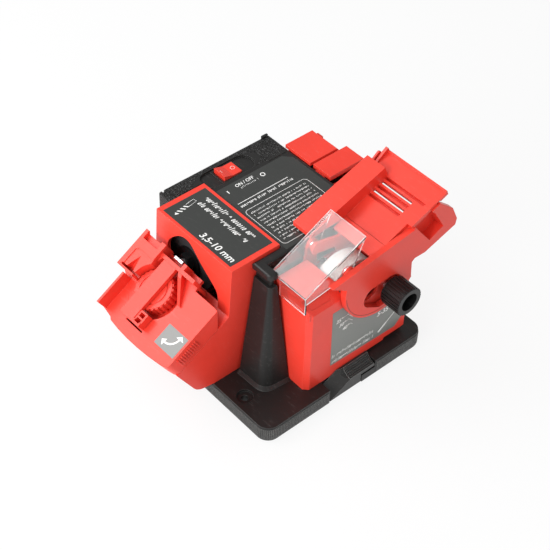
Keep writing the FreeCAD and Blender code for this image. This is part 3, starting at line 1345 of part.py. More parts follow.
def chisel_housing():
    z0 = BASE_H
    outer = prism_xy(chisel_plan(0), z0, PLATFORM_Z)
    hollow = prism_xy(chisel_plan(WALL), z0 + WALL, PLATFORM_Z - WALL)
    shell = outer.cut(hollow)
    rim = box(PLATFORM_X1, CHISEL_X1 + 1, CHISEL_Y0 - 1, CHISEL_Y1 + 1, CHISEL_RIM_Z, PLATFORM_Z + 1)
    mouth = box(PLATFORM_X1, CHISEL_X1 - WALL, CHISEL_Y0 + WALL, CHISEL_Y1 - WALL, CHISEL_RIM_Z - 9, PLATFORM_Z + 1)
    bevel_z, bevel_y = PLATFORM_BEVEL
    corner = prism_yz([(CHISEL_Y0 - 1, bevel_z - 1.4), (CHISEL_Y0 - 1, PLATFORM_Z + 1), (bevel_y + 0.7, PLATFORM_Z + 1)], CHISEL_X0 - 1, PLATFORM_X1 + 1)
    thick = prism_yz([(CHISEL_Y0 + 1, bevel_z - WALL - 2), (CHISEL_Y0 + 1, bevel_z + 1), (bevel_y + 1, PLATFORM_Z - 0.2), (bevel_y + 4, PLATFORM_Z - WALL)], CHISEL_X0 + 1, PLATFORM_X1)
    wall = box(CHISEL_X0 + 1, PLATFORM_X1, PLATFORM_Y1 - WALL, CHISEL_Y1 - 1, LEDGE_Z - WALL, PLATFORM_Z - 0.2)
    ledge = box(CHISEL_X0 - 1, PLATFORM_X1 + 1, PLATFORM_Y1, CHISEL_Y1 + 1, LEDGE_Z, PLATFORM_Z + 1)
    shell = join([shell, thick, wall]).cut(join([rim, corner, ledge]))
    ears = []
    for y0 in (CHISEL_Y0, CHISEL_Y1 - WALL):
        ear = box(HINGE_X - EAR_R - 1, HINGE_X + EAR_R, y0, y0 + WALL, CHISEL_RIM_Z - 2, HINGE_Z)
        ears.append(join([ear, rod_y(HINGE_X, y0, y0 + WALL, HINGE_Z, EAR_R)]))
    tubes = [
        rod_y(HINGE_X, CHISEL_Y0 + WALL - 0.5, CHISEL_Y0 + WALL + EAR_TUBE_L, HINGE_Z, EAR_TUBE_R),
        rod_y(HINGE_X, CHISEL_Y1 - WALL - EAR_TUBE_L, CHISEL_Y1 - WALL + 0.5, HINGE_Z, EAR_TUBE_R),
        rod_y(HINGE_X, FAR_ARM_Y0, CHISEL_Y1 - WALL, HINGE_Z, HINGE_PIN_R),
    ]
    bolt_pad = rod_y(KNOB_X, CHISEL_Y0 + WALL - 0.5, CHISEL_Y0 + WALL + 2.0, KNOB_Z, 8.0)
    shell = join([shell] + ears + tubes + [bolt_pad])
    cuts = [mouth]
    wheel_room = rod_y(MOTOR_X, CHISEL_Y0 + WALL, CHISEL_Y1 - WALL, AXIS_Z, WHEEL_R + 2.0)
    cuts.append(wheel_room.common(box(0, 200, 0, 60, CHISEL_RIM_Z - 20, PLATFORM_Z + 1)))
    cuts.append(rod_y(MOTOR_X, CHISEL_Y1 - WALL - 1, CHISEL_Y1 + 1, AXIS_Z, SHAFT_R + 3))
    cuts.append(rod_y(HINGE_X, 0, CHISEL_Y0 + WALL + EAR_TUBE_L + 1, HINGE_Z, HINGE_PIN_R + RUN_FIT))
    cuts.append(rod_y(KNOB_X, CHISEL_Y0 - 1, CHISEL_Y0 + WALL + 5, KNOB_Z, BOLT_R))
    cuts.append(prism_xz(chisel_label_outline(0), CHISEL_Y0 - 1, CHISEL_Y0 + LABEL_SINK))
    cuts.append(round_hull(BOLT_WINDOW, CHISEL_Y0 - 1, CHISEL_Y0 + WALL + 1))
    cuts.append(box(109.0, CHISEL_X1 + 1, CHISEL_Y0 - 1, CHISEL_Y0 + WALL, z0 - 1, z0 + 2.2))
    cuts.append(box(126.5, CHISEL_X1 + 1, CHISEL_Y0 - 1, CHISEL_Y0 + WALL, z0 - 1, z0 + 4.4))
    hook_x = LEVER_X + (LEVER_W - LEVER_HOOK_W) / 2
    cuts.append(box(hook_x - 1, hook_x + LEVER_HOOK_W + 1, LEVER_HOOK_Y - 2, LEVER_HOOK_Y + 2.5, z0 - 1, z0 + 2.0))
    return shell.cut(join(cuts)).removeSplitter()


def chisel_label_outline(k):
    """The sheet on the front face; its upper edge runs under the ramp's cheek, clear of the slot."""
    return [
        (CHISEL_X0 + 22.8 + k, 82.5 - k), (CHISEL_X0 + 23.9 + k, 26.0 + k),
        (137.4 - k, 23.9 + k), (145.0 - k, 32.1 + k), (145.0 - k, 62.0 - k),
        (126.0, 65.3 - k), (112.4, 64.6 - k), (100.0, 71.0 - k), (91.0, 81.0 - k), (89.0, 82.5 - k),
    ]


def chisel_label():
    y1 = CHISEL_Y0 + LABEL_SINK
    return prism_xz(chisel_label_outline(RUN_FIT), y1 - LABEL_T, y1)


# The ramp, its lock and its carriage

def cheek_outline():
    """The cheek seen from the front, as u, v points, without its round lobe."""
    return [
        (-26.0, 15.6), (50.6, -4.4), (50.6, -3.2), (78.0, -3.2), (86.7, -20.1), (87.6, -35.2), (84.6, -40.2),
        (52.7, -38.0), (43.2, -33.7), (39.7, -34.8), (30.0, -36.0), (0.0, -20.0), (-17.0, 2.0),
    ]


def cheek_solid(y0, y1):
    plate = on_ramp(prism_xz(cheek_outline(), y0, y1))
    lobe = rod_y(LOBE_C[0], y0, y1, LOBE_C[1], LOBE_R)
    top_line = on_ramp(prism_xz([(-26.0, 15.6), (50.6, -4.4), (80, -4.4), (80, 60), (-26, 60)], y0 - 1, y1 + 1))
    right = on_ramp(prism_xz([(46.0, -30.0), (43.2, -33.7), (39.7, -34.8), (35.3, -47.9), (34.0, -70.0), (90, -70), (90, -30)], y0 - 1, y1 + 1))
    return join([plate, lobe.cut(join([top_line, right]))])


def between_rounds(first, second, y0, y1):
    """The four-sided prism between two upright discs, given as x, z, radius, along their outer tangents."""
    dx = second[0] - first[0]
    dz = second[1] - first[1]
    apart = math.hypot(dx, dz)
    lean = math.acos((first[2] - second[2]) / apart)
    along = math.atan2(dz, dx)
    points = []
    for turn, disc in ((lean, first), (lean, second), (-lean, second), (-lean, first)):
        a = along + turn
        points.append((disc[0] + disc[2] * math.cos(a), disc[1] + disc[2] * math.sin(a)))
    return prism_xz(points, y0, y1)


def round_hull(rounds, y0, y1):
    """An upright plate with the outline of a band drawn tight round some discs."""
    pieces = [rod_y(x, y0, y1, z, r) for x, z, r in rounds]
    for i, first in enumerate(rounds):
        for second in rounds[i + 1:]:
            pieces.append(between_rounds(first, second, y0, y1))
    if len(rounds) > 2:
        pieces.append(prism_xz([(x, z) for x, z, r in rounds], y0, y1))
    return join(pieces)


def ramp_frame():
    y1 = CHEEK_Y0 + CHEEK_T
    cheek = cheek_solid(CHEEK_Y0, y1)
    pocket = on_ramp(prism_xz([(51.5, -1.0), (69.0, -1.0), (74.5, -29.0), (59.5, -30.0)], CHEEK_Y0 - 1, y1 + 1))
    hinge_boss = rod_y(HINGE_X, CHEEK_Y0, y1, HINGE_Z, EAR_R)
    bed = box(BED_U0, BED_U1, y1 - 0.5, 47.0, -FLOOR_T - SLIDE_GAP - BED_T, -FLOOR_T - SLIDE_GAP)
    wing = box(40.0, BED_U1, 46.0, 66.0, -FLOOR_T - SLIDE_GAP - BED_T, -FLOOR_T - SLIDE_GAP)
    rails = [box(u, u + 3.0, y1, 60.0 if u > 42 else 47.0, -FLOOR_T - SLIDE_GAP - 0.5, -FLOOR_T + 1.2) for u in RAIL_U]
    far_cheek = box(BED_U0 - 10, 46.0, FAR_ARM_Y0, FAR_ARM_Y1, -20.0, -FLOOR_T - SLIDE_GAP)
    sill = box(BED_U0 - 2, FLOOR_U0 - SLIDE_GAP, FLOOR_Y0, BAR_Y0 - SLIDE_GAP, -FLOOR_T, 0)
    sill_root = box(BED_U0, FLOOR_U0 - SLIDE_GAP, FLOOR_Y0, 47.0, -FLOOR_T - SLIDE_GAP - 0.5, -0.5)
    bed_group = on_ramp(join([bed, wing] + rails + [far_cheek, sill, sill_root]))
    far_arm = prism_xz(
        [(HINGE_X - 4, HINGE_Z - 4), (HINGE_X - 2, HINGE_Z + 4.6), (HINGE_X + 6, HINGE_Z + 3.6), (114.0, 110.0), (114, 102)],
        FAR_ARM_Y0, FAR_ARM_Y1,
    )
    pin_near = rod_y(HINGE_X, y1 - 0.5, CHISEL_Y0 + WALL, HINGE_Z, HINGE_PIN_R)
    far_boss = rod_y(HINGE_X, FAR_ARM_Y0, FAR_ARM_Y1, HINGE_Z, EAR_R)
    far_bore = rod_y(HINGE_X, FAR_ARM_Y0 - 1, FAR_ARM_Y1 + 1, HINGE_Z, HINGE_PIN_R + RUN_FIT)
    pocket_back = on_ramp(prism_xz([(49.5, -3.2), (71.0, -3.2), (76.5, -31.0), (57.5, -32.0)], y1 - 1.2, y1 + 6))
    pocket_room = on_ramp(prism_xz([(51.5, 5.0), (69.0, 5.0), (74.5, -29.0), (59.5, -30.0)], CHEEK_Y0 - 1, y1 + 4))
    frame = join([cheek, hinge_boss, bed_group, far_arm, pin_near, far_boss, pocket_back])
    cuts = [far_bore, round_hull(SLOT_ROUNDS, CHEEK_Y0 - 1, y1 + 1), pocket, pocket_room.cut(on_ramp(box(0, 100, 0, 60, -FLOOR_T - SLIDE_GAP - BED_T, 20)))]
    for u in SLOT_U[1::2]:
        cuts.append(on_ramp(box(u - 0.5, u + FLOOR_SLOT_W + 0.5, 20.0, 58.0, -12, -2)))
    return frame.cut(join(cuts)).removeSplitter()


def ramp_carriage():
    """The sliding floor with its fence bar; chisels lie flat on it."""
    floor = box(FLOOR_U0, 50.0, FLOOR_Y0, FLOOR_Y1, -FLOOR_T, 0)
    upper = box(50.0, FLOOR_U1, 6.3, BAR_Y1, -FLOOR_T, 0)
    lip = box(FLOOR_U1 - 1.6, FLOOR_U1, 6.3, BAR_Y1 - 2.2, -FLOOR_T, 1.2)
    fin = prism_xz([(73.0, -1), (73.0, 0.8), (FLOOR_U1 - 0.6, 4.4), (FLOOR_U1, 3.4), (FLOOR_U1, -1)], BAR_Y1 - 4.6, BAR_Y1 - 2.2)
    post = prism_xz([(70.0, -2), (70.0, 1.5), (80.0, 4.6), (81.6, 3.0), (81.6, -2)], BAR_Y1 - 1.6, BAR_Y1)
    flat = on_ramp(join([floor, upper, lip, fin, post]))
    meet_x = TIP_X + (BAR_UNDER_Z - TIP_Z + 3.2) / math.tan(math.radians(RAMP_DEG))
    foot_x, foot_z = BAR_HIGH[0] + 4.0, BAR_HIGH[1] - 9.5
    bar = prism_xz(
        [BAR_LOW, (BAR_LOW[0], BAR_UNDER_Z), (meet_x, BAR_UNDER_Z), (foot_x + 1.0, foot_z - 1.5), BAR_HIGH],
        BAR_Y0, BAR_Y1,
    )
    carriage = join([flat, bar])
    cuts = []
    for i, u in enumerate(SLOT_U):
        y_from = 11.5 if i == len(SLOT_U) - 1 else 20.0
        cuts.append(on_ramp(box(u, u + FLOOR_SLOT_W, y_from, FLOOR_Y1 - 0.6, -FLOOR_T - 1, 1)))
    for u in RAIL_U:
        cuts.append(on_ramp(box(u - SLIDE_GAP, u + 3.0 + SLIDE_GAP, 0, BAR_Y1 + 1, -FLOOR_T - 1, -FLOOR_T + 1.2 + SLIDE_GAP)))
    return carriage.cut(join(cuts)).removeSplitter()


def lock_bolt():
    shank = rod_y(KNOB_X, CHEEK_Y0 - KNOB_L + KNOB_BORE_L + 1.0, CHISEL_Y0 + WALL + 5.5, KNOB_Z, BOLT_R)
    head = hexagon(10.0, 3.5, V(KNOB_X, CHISEL_Y0 + WALL + 2.0, KNOB_Z), V(0, 1, 0))
    return join([shank, head])


def lock_knob():
    y1 = CHEEK_Y0 - SLIDE_GAP
    y0 = y1 - KNOB_L
    core = rod_y(0, y0, y1, 0, KNOB_R - 0.7)
    teeth = []
    for i in range(KNOB_TEETH):
        tooth = box(KNOB_R - 1.6, KNOB_R, y0 + 0.4, y1 - 1.4, -0.7, 0.7)
        tooth.rotate(V(0, 0, 0), V(0, 1, 0), 360.0 * i / KNOB_TEETH)
        teeth.append(tooth)
    cuts = [rod_y(0, y0 - 1, y0 + KNOB_BORE_L, 0, KNOB_BORE_R), rod_y(0, y0 - 1, y1 + 1, 0, BOLT_R + RUN_FIT)]
    knob = join([core] + teeth).cut(join(cuts))
    knob.translate(V(KNOB_X, 0, KNOB_Z))
    return knob


# The clear shield

def shield():
    """A clear visor: front strip, sloping roof and two cheeks that turn on the hinge tubes."""
    y0 = SHIELD_Y0
    y1 = CHISEL_Y1 - WALL - 0.3
    a = math.radians(SHIELD_RISE)
    run = (SHIELD_X1 - SHIELD_X0) / math.cos(a)
    roof = box(0, run, y0, y1, -SHIELD_T, 0)
    roof.rotate(V(0, 0, 0), V(0, 1, 0), -SHIELD_RISE)
    roof.translate(V(SHIELD_X0, 0, SHIELD_Z0))
    front = box(SHIELD_X0, SHIELD_X0 + SHIELD_T, y0, SHIELD_FRONT_Y1, SHIELD_Z0 - SHIELD_FRONT_H, SHIELD_Z0 - 0.4)
    sides = []
    low_z = SHIELD_Z0 - SHIELD_FRONT_H
    end_z = SHIELD_Z0 + (SHIELD_X1 - SHIELD_X0) * math.tan(a)
    outline = [
        (SHIELD_X0, low_z), (SHIELD_X0 + SHIELD_T, low_z), (SHIELD_X0 + SHIELD_T, PLATFORM_Z + FACE_GAP),
        (HINGE_X - 6, HINGE_Z - 4.5), (HINGE_X, HINGE_Z - 5.5),
        (HINGE_X + 5.5, HINGE_Z), (SHIELD_X1 - 0.5, end_z - 2.5), (SHIELD_X0, SHIELD_Z0 - 1.0),
    ]
    for y in (y0, y1 - SHIELD_T):
        if y > y0:
            outline = [(SHIELD_X0 + 1.0, SHIELD_Z0 - 1.0)] + outline[3:-1]
        side = prism_xz(outline, y, y + SHIELD_T)
        sides.append(join([side, rod_y(HINGE_X, y, y + SHIELD_T, HINGE_Z, EAR_R + 1.2)]))
    whole = join([roof, front] + sides)
    return whole.cut(rod_y(HINGE_X, 0, 80, HINGE_Z, EAR_TUBE_R + RUN_FIT)).removeSplitter()


# The knife and scissor module

def knife_housing():
    z0 = BASE_H
    outer = box(KNIFE_X0, KNIFE_X1, KNIFE_Y0, KNIFE_Y1, z0, KNIFE_RIM_Z)
    low_cut = prism_xz([(BASE_W + 1, z0 - 1), (KNIFE_X1 + 1, z0 - 1), (KNIFE_X1 + 1, z0 + 26)], KNIFE_Y0 - 1, KNIFE_Y1 + 1)
    outer = outer.cut(low_cut)
    hollow = box(KNIFE_X0 - 1, KNIFE_X1 - WALL, KNIFE_Y0 + WALL, KNIFE_Y1 - WALL, z0 + WALL, KNIFE_RIM_Z + 1)
    hollow = hollow.cut(prism_xz([(BASE_W - WALL, z0 - 1), (KNIFE_X1 + 2, z0 - 1), (KNIFE_X1 + 2, z0 + 30)], KNIFE_Y0, KNIFE_Y1))
    shell = outer.cut(hollow)
    posts = [
        box(KNIFE_X0 + 1, KNIFE_X0 + 5, KNIFE_Y1 - 8, KNIFE_Y1 - WALL + 0.5, KNIFE_RIM_Z - 20, PLATE_Z - PLATE_T),
        box(KNIFE_X1 - 8, KNIFE_X1 - WALL + 0.5, KNIFE_Y1 - 8, KNIFE_Y1 - WALL + 0.5, KNIFE_RIM_Z - 20, PLATE_Z - PLATE_T),
        box(KNIFE_X1 - WALL, KNIFE_X1, KNIFE_Y0, KNIFE_SLOT_Y - 4, KNIFE_RIM_Z - 1, PLATE_Z - PLATE_T - 1.8),
        box(KNIFE_X0, KNIFE_X0 + WALL, KNIFE_SLOT_Y - 14, KNIFE_SLOT_Y - 4, KNIFE_RIM_Z - 1, PLATE_Z - PLATE_T - 1.8),
        box(KNIFE_X0, KNIFE_X0 + WALL, KNIFE_SLOT_Y - 14, KNIFE_SLOT_Y - 4, z0 + 1, KNIFE_RIM_Z),
    ]
    return join([shell] + posts)


def knife_guide():
    y0 = KNIFE_SLOT_Y + KNIFE_SLOT_W / 2
    plate = box(KNIFE_X0, KNIFE_X1 - 6.0, y0, 142.0, PLATE_Z - PLATE_T, PLATE_Z)
    edge = prism_yz([(y0, PLATE_Z - PLATE_T), (y0 + 4.0, PLATE_Z - PLATE_T), (y0 + 4.0, PLATE_Z - PLATE_T - 4)], KNIFE_X0 + 4, KNIFE_X1 - 9)
    return join([plate, edge])


def scissor_guide():
    y1 = KNIFE_SLOT_Y - KNIFE_SLOT_W / 2
    top = PLATE_Z - 0.8
    plate = box(KNIFE_X0 + 1.6, KNIFE_X1 + 2.2, 92.4, y1, top - PLATE_T - 1.0, top)
    side = box(KNIFE_X1 + 0.4, KNIFE_X1 + 2.2, 92.4, y1, top - PLATE_T - 6, top - 1)
    return join([plate, side])


def build():
    os.makedirs("parts", exist_ok=True)
    pieces = [
        (base_plate, "base_plate"),
        (bottom_cover, "bottom_cover"),
        (rubber_feet, "rubber_feet"),
        (housing_screws, "housing_screws"),
        (release_lever, "release_lever"),
        (lever_pin, "lever_pin"),
        (lever_spring, "lever_spring"),
        (body_housing, "body_housing"),
        (pillar, "corner_pillar"),
        (top_cover, "top_cover"),
        (top_label, "top_label"),
        (cable_gland, "cable_gland"),
        (switch_body, "switch_body"),
        (switch_rocker, "switch_rocker"),
        (switch_tabs, "switch_tabs"),
        (motor_bearings, "motor_bearings"),
        (front_bracket, "front_bracket"),
        (rear_bracket, "rear_bracket"),
        (field_stack, "field_stack"),
        (motor_cradle, "motor_cradle"),
        (field_coils, "field_coils"),
        (armature_core, "armature_core"),
        (armature_windings, "armature_windings"),
        (commutator, "commutator"),
        (carbon_brushes, "carbon_brushes"),
        (brush_holders, "brush_holders"),
        (motor_shaft, "motor_shaft"),
        (fan, "cooling_fan"),
        (bevel_pinion, "bevel_pinion"),
        (bevel_gear, "bevel_gear"),
        (cross_shaft, "cross_shaft"),
        (cross_bearings, "cross_bearings"),
        (bearing_carriers, "bearing_carriers"),
        (chisel_wheel, "chisel_wheel"),
        (lambda: side_wheel(DRILL_WHEEL_X, WHEEL_R), "drill_wheel"),
        (lambda: side_wheel(KNIFE_WHEEL_X, KNIFE_WHEEL_R), "knife_wheel"),
        (chisel_flanges, "chisel_flanges"),
        (side_flanges, "side_flanges"),
        (chisel_nut, "chisel_nut"),
        (side_nuts, "side_nuts"),
        (drill_housing, "drill_housing"),
        (drill_label, "drill_label"),
        (head_pivot_pin, "head_pivot_pin"),
        (drill_head, "drill_head"),
        (arrow_plate, "arrow_plate"),
        (thumb_wheel, "thumb_wheel"),
        (thumb_pin, "thumb_pin"),
        (clamp_bridge, "clamp_bridge"),
        (lambda: clamp_jaw(-1), "jaw_front"),
        (lambda: clamp_jaw(1), "jaw_back"),
        (chisel_housing, "chisel_housing"),
        (chisel_label, "chisel_label"),
        (ramp_frame, "ramp_frame"),
        (ramp_carriage, "ramp_carriage"),
        (lock_bolt, "lock_bolt"),
        (lock_knob, "lock_knob"),
        (shield, "clear_shield"),
        (knife_housing, "knife_housing"),
        (knife_guide, "knife_guide"),
        (scissor_guide, "scissor_guide"),
    ]
    for make, name in pieces:
        save(make(), name)


build()
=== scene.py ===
# %% [markdown]
# # A bench sharpener, dressed over its CAD parts
# The machine is a black motor housing on a base plate, with three red stations round it: a drill
# holder on the left, a tilting chisel ramp in front and a knife slot on the right. Its solids come
# from CAD and never move here. This lesson gives each of them a finish, and adds what is too fine
# for the solids: printed signs, the ribs round the base and painted highlights on the clear guard's rims.

# %% Load the CAD parts
import json
import math

import bpy
import bmesh
from mathutils import Matrix, Vector
from mathutils.bvhtree import BVHTree


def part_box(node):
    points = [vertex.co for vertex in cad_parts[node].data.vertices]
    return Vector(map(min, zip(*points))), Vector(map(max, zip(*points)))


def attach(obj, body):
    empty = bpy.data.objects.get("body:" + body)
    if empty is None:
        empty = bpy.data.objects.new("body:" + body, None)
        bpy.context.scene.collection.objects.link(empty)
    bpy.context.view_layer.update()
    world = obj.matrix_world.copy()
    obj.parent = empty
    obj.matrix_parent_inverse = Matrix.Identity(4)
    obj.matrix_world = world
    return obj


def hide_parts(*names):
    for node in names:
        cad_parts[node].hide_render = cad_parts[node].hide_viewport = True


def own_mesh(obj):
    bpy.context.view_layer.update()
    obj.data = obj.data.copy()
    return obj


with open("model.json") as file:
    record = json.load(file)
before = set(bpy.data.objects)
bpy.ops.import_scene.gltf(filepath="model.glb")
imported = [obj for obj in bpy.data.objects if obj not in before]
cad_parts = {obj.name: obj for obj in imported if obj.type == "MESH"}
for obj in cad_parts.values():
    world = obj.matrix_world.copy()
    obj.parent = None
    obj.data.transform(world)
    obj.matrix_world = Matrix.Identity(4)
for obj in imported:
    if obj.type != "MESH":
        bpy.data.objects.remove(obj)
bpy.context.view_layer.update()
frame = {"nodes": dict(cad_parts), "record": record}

# %% [markdown]
# The drawing of the machine counts millimetres from the front left corner of its base plate, while
# Blender counts metres from the middle of the whole machine. One small function turns the first
# into the second, so every size below can be read off the drawing.

# %% From the drawing to the scene
DRAWING_ORIGIN = (70.0, 80.0, -1.5)
MM = 0.001


def at(x, y, z):
    """A point of the drawing, in millimetres, as a place in the scene."""
    return Vector([(a - b) * MM for a, b in zip((x, y, z), DRAWING_ORIGIN)])


def face_frame(right, up, origin):
    """The matrix of a flat face: drawn millimetres go right and up on it, and out of it."""
    right = Vector(right).normalized()
    up = Vector(up).normalized()
    out = right.cross(up)
    turned = Matrix((right, up, out)).transposed().to_4x4()
    return Matrix.Translation(at(*origin)) @ turned @ Matrix.Scale(MM, 4)


# %% [markdown]
# The camera stands where the photograph was taken: well above the bench, in front of the left
# corner. A long lens of about 90 mm keeps the edges nearly parallel. Azimuth and elevation give
# the direction, and a small roll levels the picture the way the photograph is levelled.

# %% The camera
CAMERA_AZIMUTH = -42.2256
CAMERA_ELEVATION = 44.652
CAMERA_ROLL = 1.8478
CAMERA_PLACE = (-414.43, -459.96, 785.293)
LENS_MM = 89.517

azimuth = math.radians(CAMERA_AZIMUTH)
elevation = math.radians(CAMERA_ELEVATION)
roll = math.radians(CAMERA_ROLL)
back = Vector((
    math.sin(azimuth) * math.cos(elevation),
    -math.cos(azimuth) * math.cos(elevation),
    math.sin(elevation),
))
level = Vector((math.cos(azimuth), math.sin(azimuth), 0))
upward = back.cross(level)
right = level * math.cos(roll) + upward * math.sin(roll)
camera_up = back.cross(right)
camera_data = bpy.data.cameras.new("camera")
camera_data.sensor_width = 36
camera_data.lens = LENS_MM
camera_data.clip_start = 0.05
camera_data.clip_end = 50
camera = bpy.data.objects.new("camera", camera_data)
camera.matrix_world = Matrix.Translation(at(*CAMERA_PLACE)) @ Matrix(
    (right, camera_up, back)
).transposed().to_4x4()
bpy.context.scene.collection.objects.link(camera)
bpy.context.scene.camera = camera
print("camera stands", round(camera.location.length, 3), "m from the middle")

# %% [markdown]
# Every finish below is built from nodes. A few short helpers keep that readable: one adds a node
# and sets its sockets, one starts a material with its Principled shader, and one starts a node
# group with named inputs and outputs.

# %% Helpers for nodes
def add(tree, kind, sockets=None, **fields):
    """A new node. sockets maps an input's name or number to a value, a socket, or a node, which
    stands for its first output."""
    made = tree.nodes.new(kind)
    for name, value in fields.items():
        setattr(made, name, value)
    for name, value in (sockets or {}).items():
        if isinstance(value, bpy.types.Node):
            value = value.outputs[0]
        if isinstance(value, bpy.types.NodeSocket):
            tree.links.new(value, made.inputs[name])
        else:
            made.inputs[name].default_value = value
    return made


def calc(tree, operation, *values):
    """A Math node of up to three values."""
    return add(tree, "ShaderNodeMath", dict(enumerate(values)), operation=operation)


def start_group(name, kind, inputs, outputs):
    """A node group of a kind, with the sockets that it is given and its output node."""
    tree = bpy.data.node_groups.new(name, kind)
    for title, socket, default in inputs:
        made = tree.interface.new_socket(title, in_out="INPUT", socket_type="NodeSocket" + socket)
        if default is not None:
            made.default_value = default
    for title, socket in outputs:
        tree.interface.new_socket(title, in_out="OUTPUT", socket_type="NodeSocket" + socket)
    return tree, tree.nodes.new("NodeGroupInput").outputs, tree.nodes.new("NodeGroupOutput")


def end_tree(tree, given, result, shape):
    """The end of a Geometry Nodes tree: instances made real, and the finish set."""
    real = add(tree, "GeometryNodeRealizeInstances", {0: shape})
    painted = add(tree, "GeometryNodeSetMaterial", {"Geometry": real, "Material": given["Finish"]})
    tree.links.new(painted.outputs[0], result.inputs[0])
    return tree


def start_material(name):
    """A material with one Principled shader; returns it, its tree and the shader."""
    made = bpy.data.materials.new(name)
    made.use_nodes = True
    tree = made.node_tree
    return made, tree, tree.nodes["Principled BSDF"]


def place_group(tree, group, **sockets):
    """One use of a shader node group in a material, read at the piece's own coordinates."""
    made = tree.nodes.new("ShaderNodeGroup")
    made.node_tree = group
    seen = add(tree, "ShaderNodeTexCoord")
    tree.links.new(seen.outputs["Object"], made.inputs["Vector"])
    for name, value in sockets.items():
        made.inputs[name.replace("_", " ")].default_value = value
    return made


print("node helpers ready")

# %% [markdown]
# Moulded plastic is never one flat colour. The mould's spark-eroded skin gives a fine grain, the
# melt leaves broad pale clouds, and hands leave faint scuffs. All three are the same effect on the
# red shells, the black housing and the knob, so they are one shader group, and each material sets
# its own strengths. Noise in three dimensions needs no unwrapping.

# %% A group for moulded grain
def build_moulded_grain():
    tree, given, result = start_group(
        "moulded_grain", "ShaderNodeTree",
        [
            ("Vector", "Vector", None),
            ("Colour", "Color", (0.5, 0.5, 0.5, 1)),
            ("Cloud", "Float", 0.08),
            ("Grain Scale", "Float", 2600.0),
            ("Grain", "Float", 0.5),
            ("Gloss", "Float", 0.4),
            ("Scuff", "Float", 0.15),
        ],
        [("Colour", "Color"), ("Roughness", "Float"), ("Height", "Float")],
    )
    place = given["Vector"]
    fine = add(tree, "ShaderNodeTexNoise", {"Vector": place, "Scale": given["Grain Scale"], "Detail": 2.0})
    broad = add(tree, "ShaderNodeTexNoise", {"Vector": place, "Scale": 28.0, "Detail": 3.0, "Roughness": 0.6})
    long_place = add(
        tree, "ShaderNodeMapping", {"Vector": place, "Scale": (1.0, 0.25, 1.0), "Rotation": (0.3, 0.2, 0.7)},
    )
    marks = add(
        tree, "ShaderNodeTexNoise", {"Vector": long_place, "Scale": 420.0, "Detail": 4.0, "Roughness": 0.7},
    )
    sparse = add(tree, "ShaderNodeMapRange", {0: marks.outputs["Fac"], 1: 0.58, 2: 0.72, 3: 0.0, 4: 1.0})
    scuffs = calc(tree, "MULTIPLY", sparse, given["Scuff"])
    shift = add(tree, "ShaderNodeMapRange", {0: broad.outputs["Fac"], 1: 0.3, 2: 0.7, 3: -1.0, 4: 1.0})
    tone = calc(tree, "MULTIPLY_ADD", shift, given["Cloud"], 1.0)
    clouded = add(tree, "ShaderNodeVectorMath", {0: given["Colour"]}, operation="SCALE")
    tree.links.new(tone.outputs[0], clouded.inputs["Scale"])
    rubbed = add(tree, "ShaderNodeMix", {"A": clouded}, data_type="RGBA")
    rubbed.inputs["B"].default_value = (0.75, 0.72, 0.7, 1)
    faint = calc(tree, "MULTIPLY", scuffs, 0.35)
    tree.links.new(faint.outputs[0], rubbed.inputs["Factor"])
    rough = calc(tree, "MULTIPLY_ADD", scuffs, 0.5, given["Gloss"])
    varied = calc(tree, "MULTIPLY_ADD", shift, 0.04, rough)
    height = calc(tree, "MULTIPLY", fine.outputs["Fac"], given["Grain"])
    tree.links.new(rubbed.outputs["Result"], result.inputs["Colour"])
    tree.links.new(varied.outputs[0], result.inputs["Roughness"])
    tree.links.new(height.outputs[0], result.inputs["Height"])
    return tree


moulded_grain = build_moulded_grain()
print("group:", moulded_grain.name)

# %% [markdown]
# A moulded edge is never razor sharp: it has a radius of a few tenths of a millimetre that catches
# the light, and the red ones look paler there. The Bevel node rounds the normal near an edge
# without touching the mesh. The angle between that normal and the true one is an edge mask, and
# this group uses it to paint a highlight into the colour, lighter along the edges.

# %% A group for painted edge highlights
def build_painted_edge_highlight():
    tree, given, result = start_group(
        "painted_edge_highlight", "ShaderNodeTree",
        [
            ("Rounded", "Vector", None),
            ("True", "Vector", None),
            ("Colour", "Color", (0.5, 0.5, 0.5, 1)),
            ("Edge Colour", "Color", (1, 1, 1, 1)),
            ("Strength", "Float", 0.4),
        ],
        [("Colour", "Color")],
    )
    # The edge mask paints a highlight: along edges the colour goes towards Edge Colour.
    dot = add(tree, "ShaderNodeVectorMath", {0: given["Rounded"], 1: given["True"]}, operation="DOT_PRODUCT")
    mask = add(tree, "ShaderNodeMapRange", {0: dot.outputs["Value"], 1: 0.995, 2: 0.85, 3: 0.0, 4: 1.0})
    amount = calc(tree, "MULTIPLY", mask, given["Strength"])
    mixed = add(
        tree, "ShaderNodeMix", {"Factor": amount, "A": given["Colour"], "B": given["Edge Colour"]},
        data_type="RGBA",
    )
    tree.links.new(mixed.outputs["Result"], result.inputs["Colour"])
    return tree


painted_edge_highlight = build_painted_edge_highlight()
print("group:", painted_edge_highlight.name)
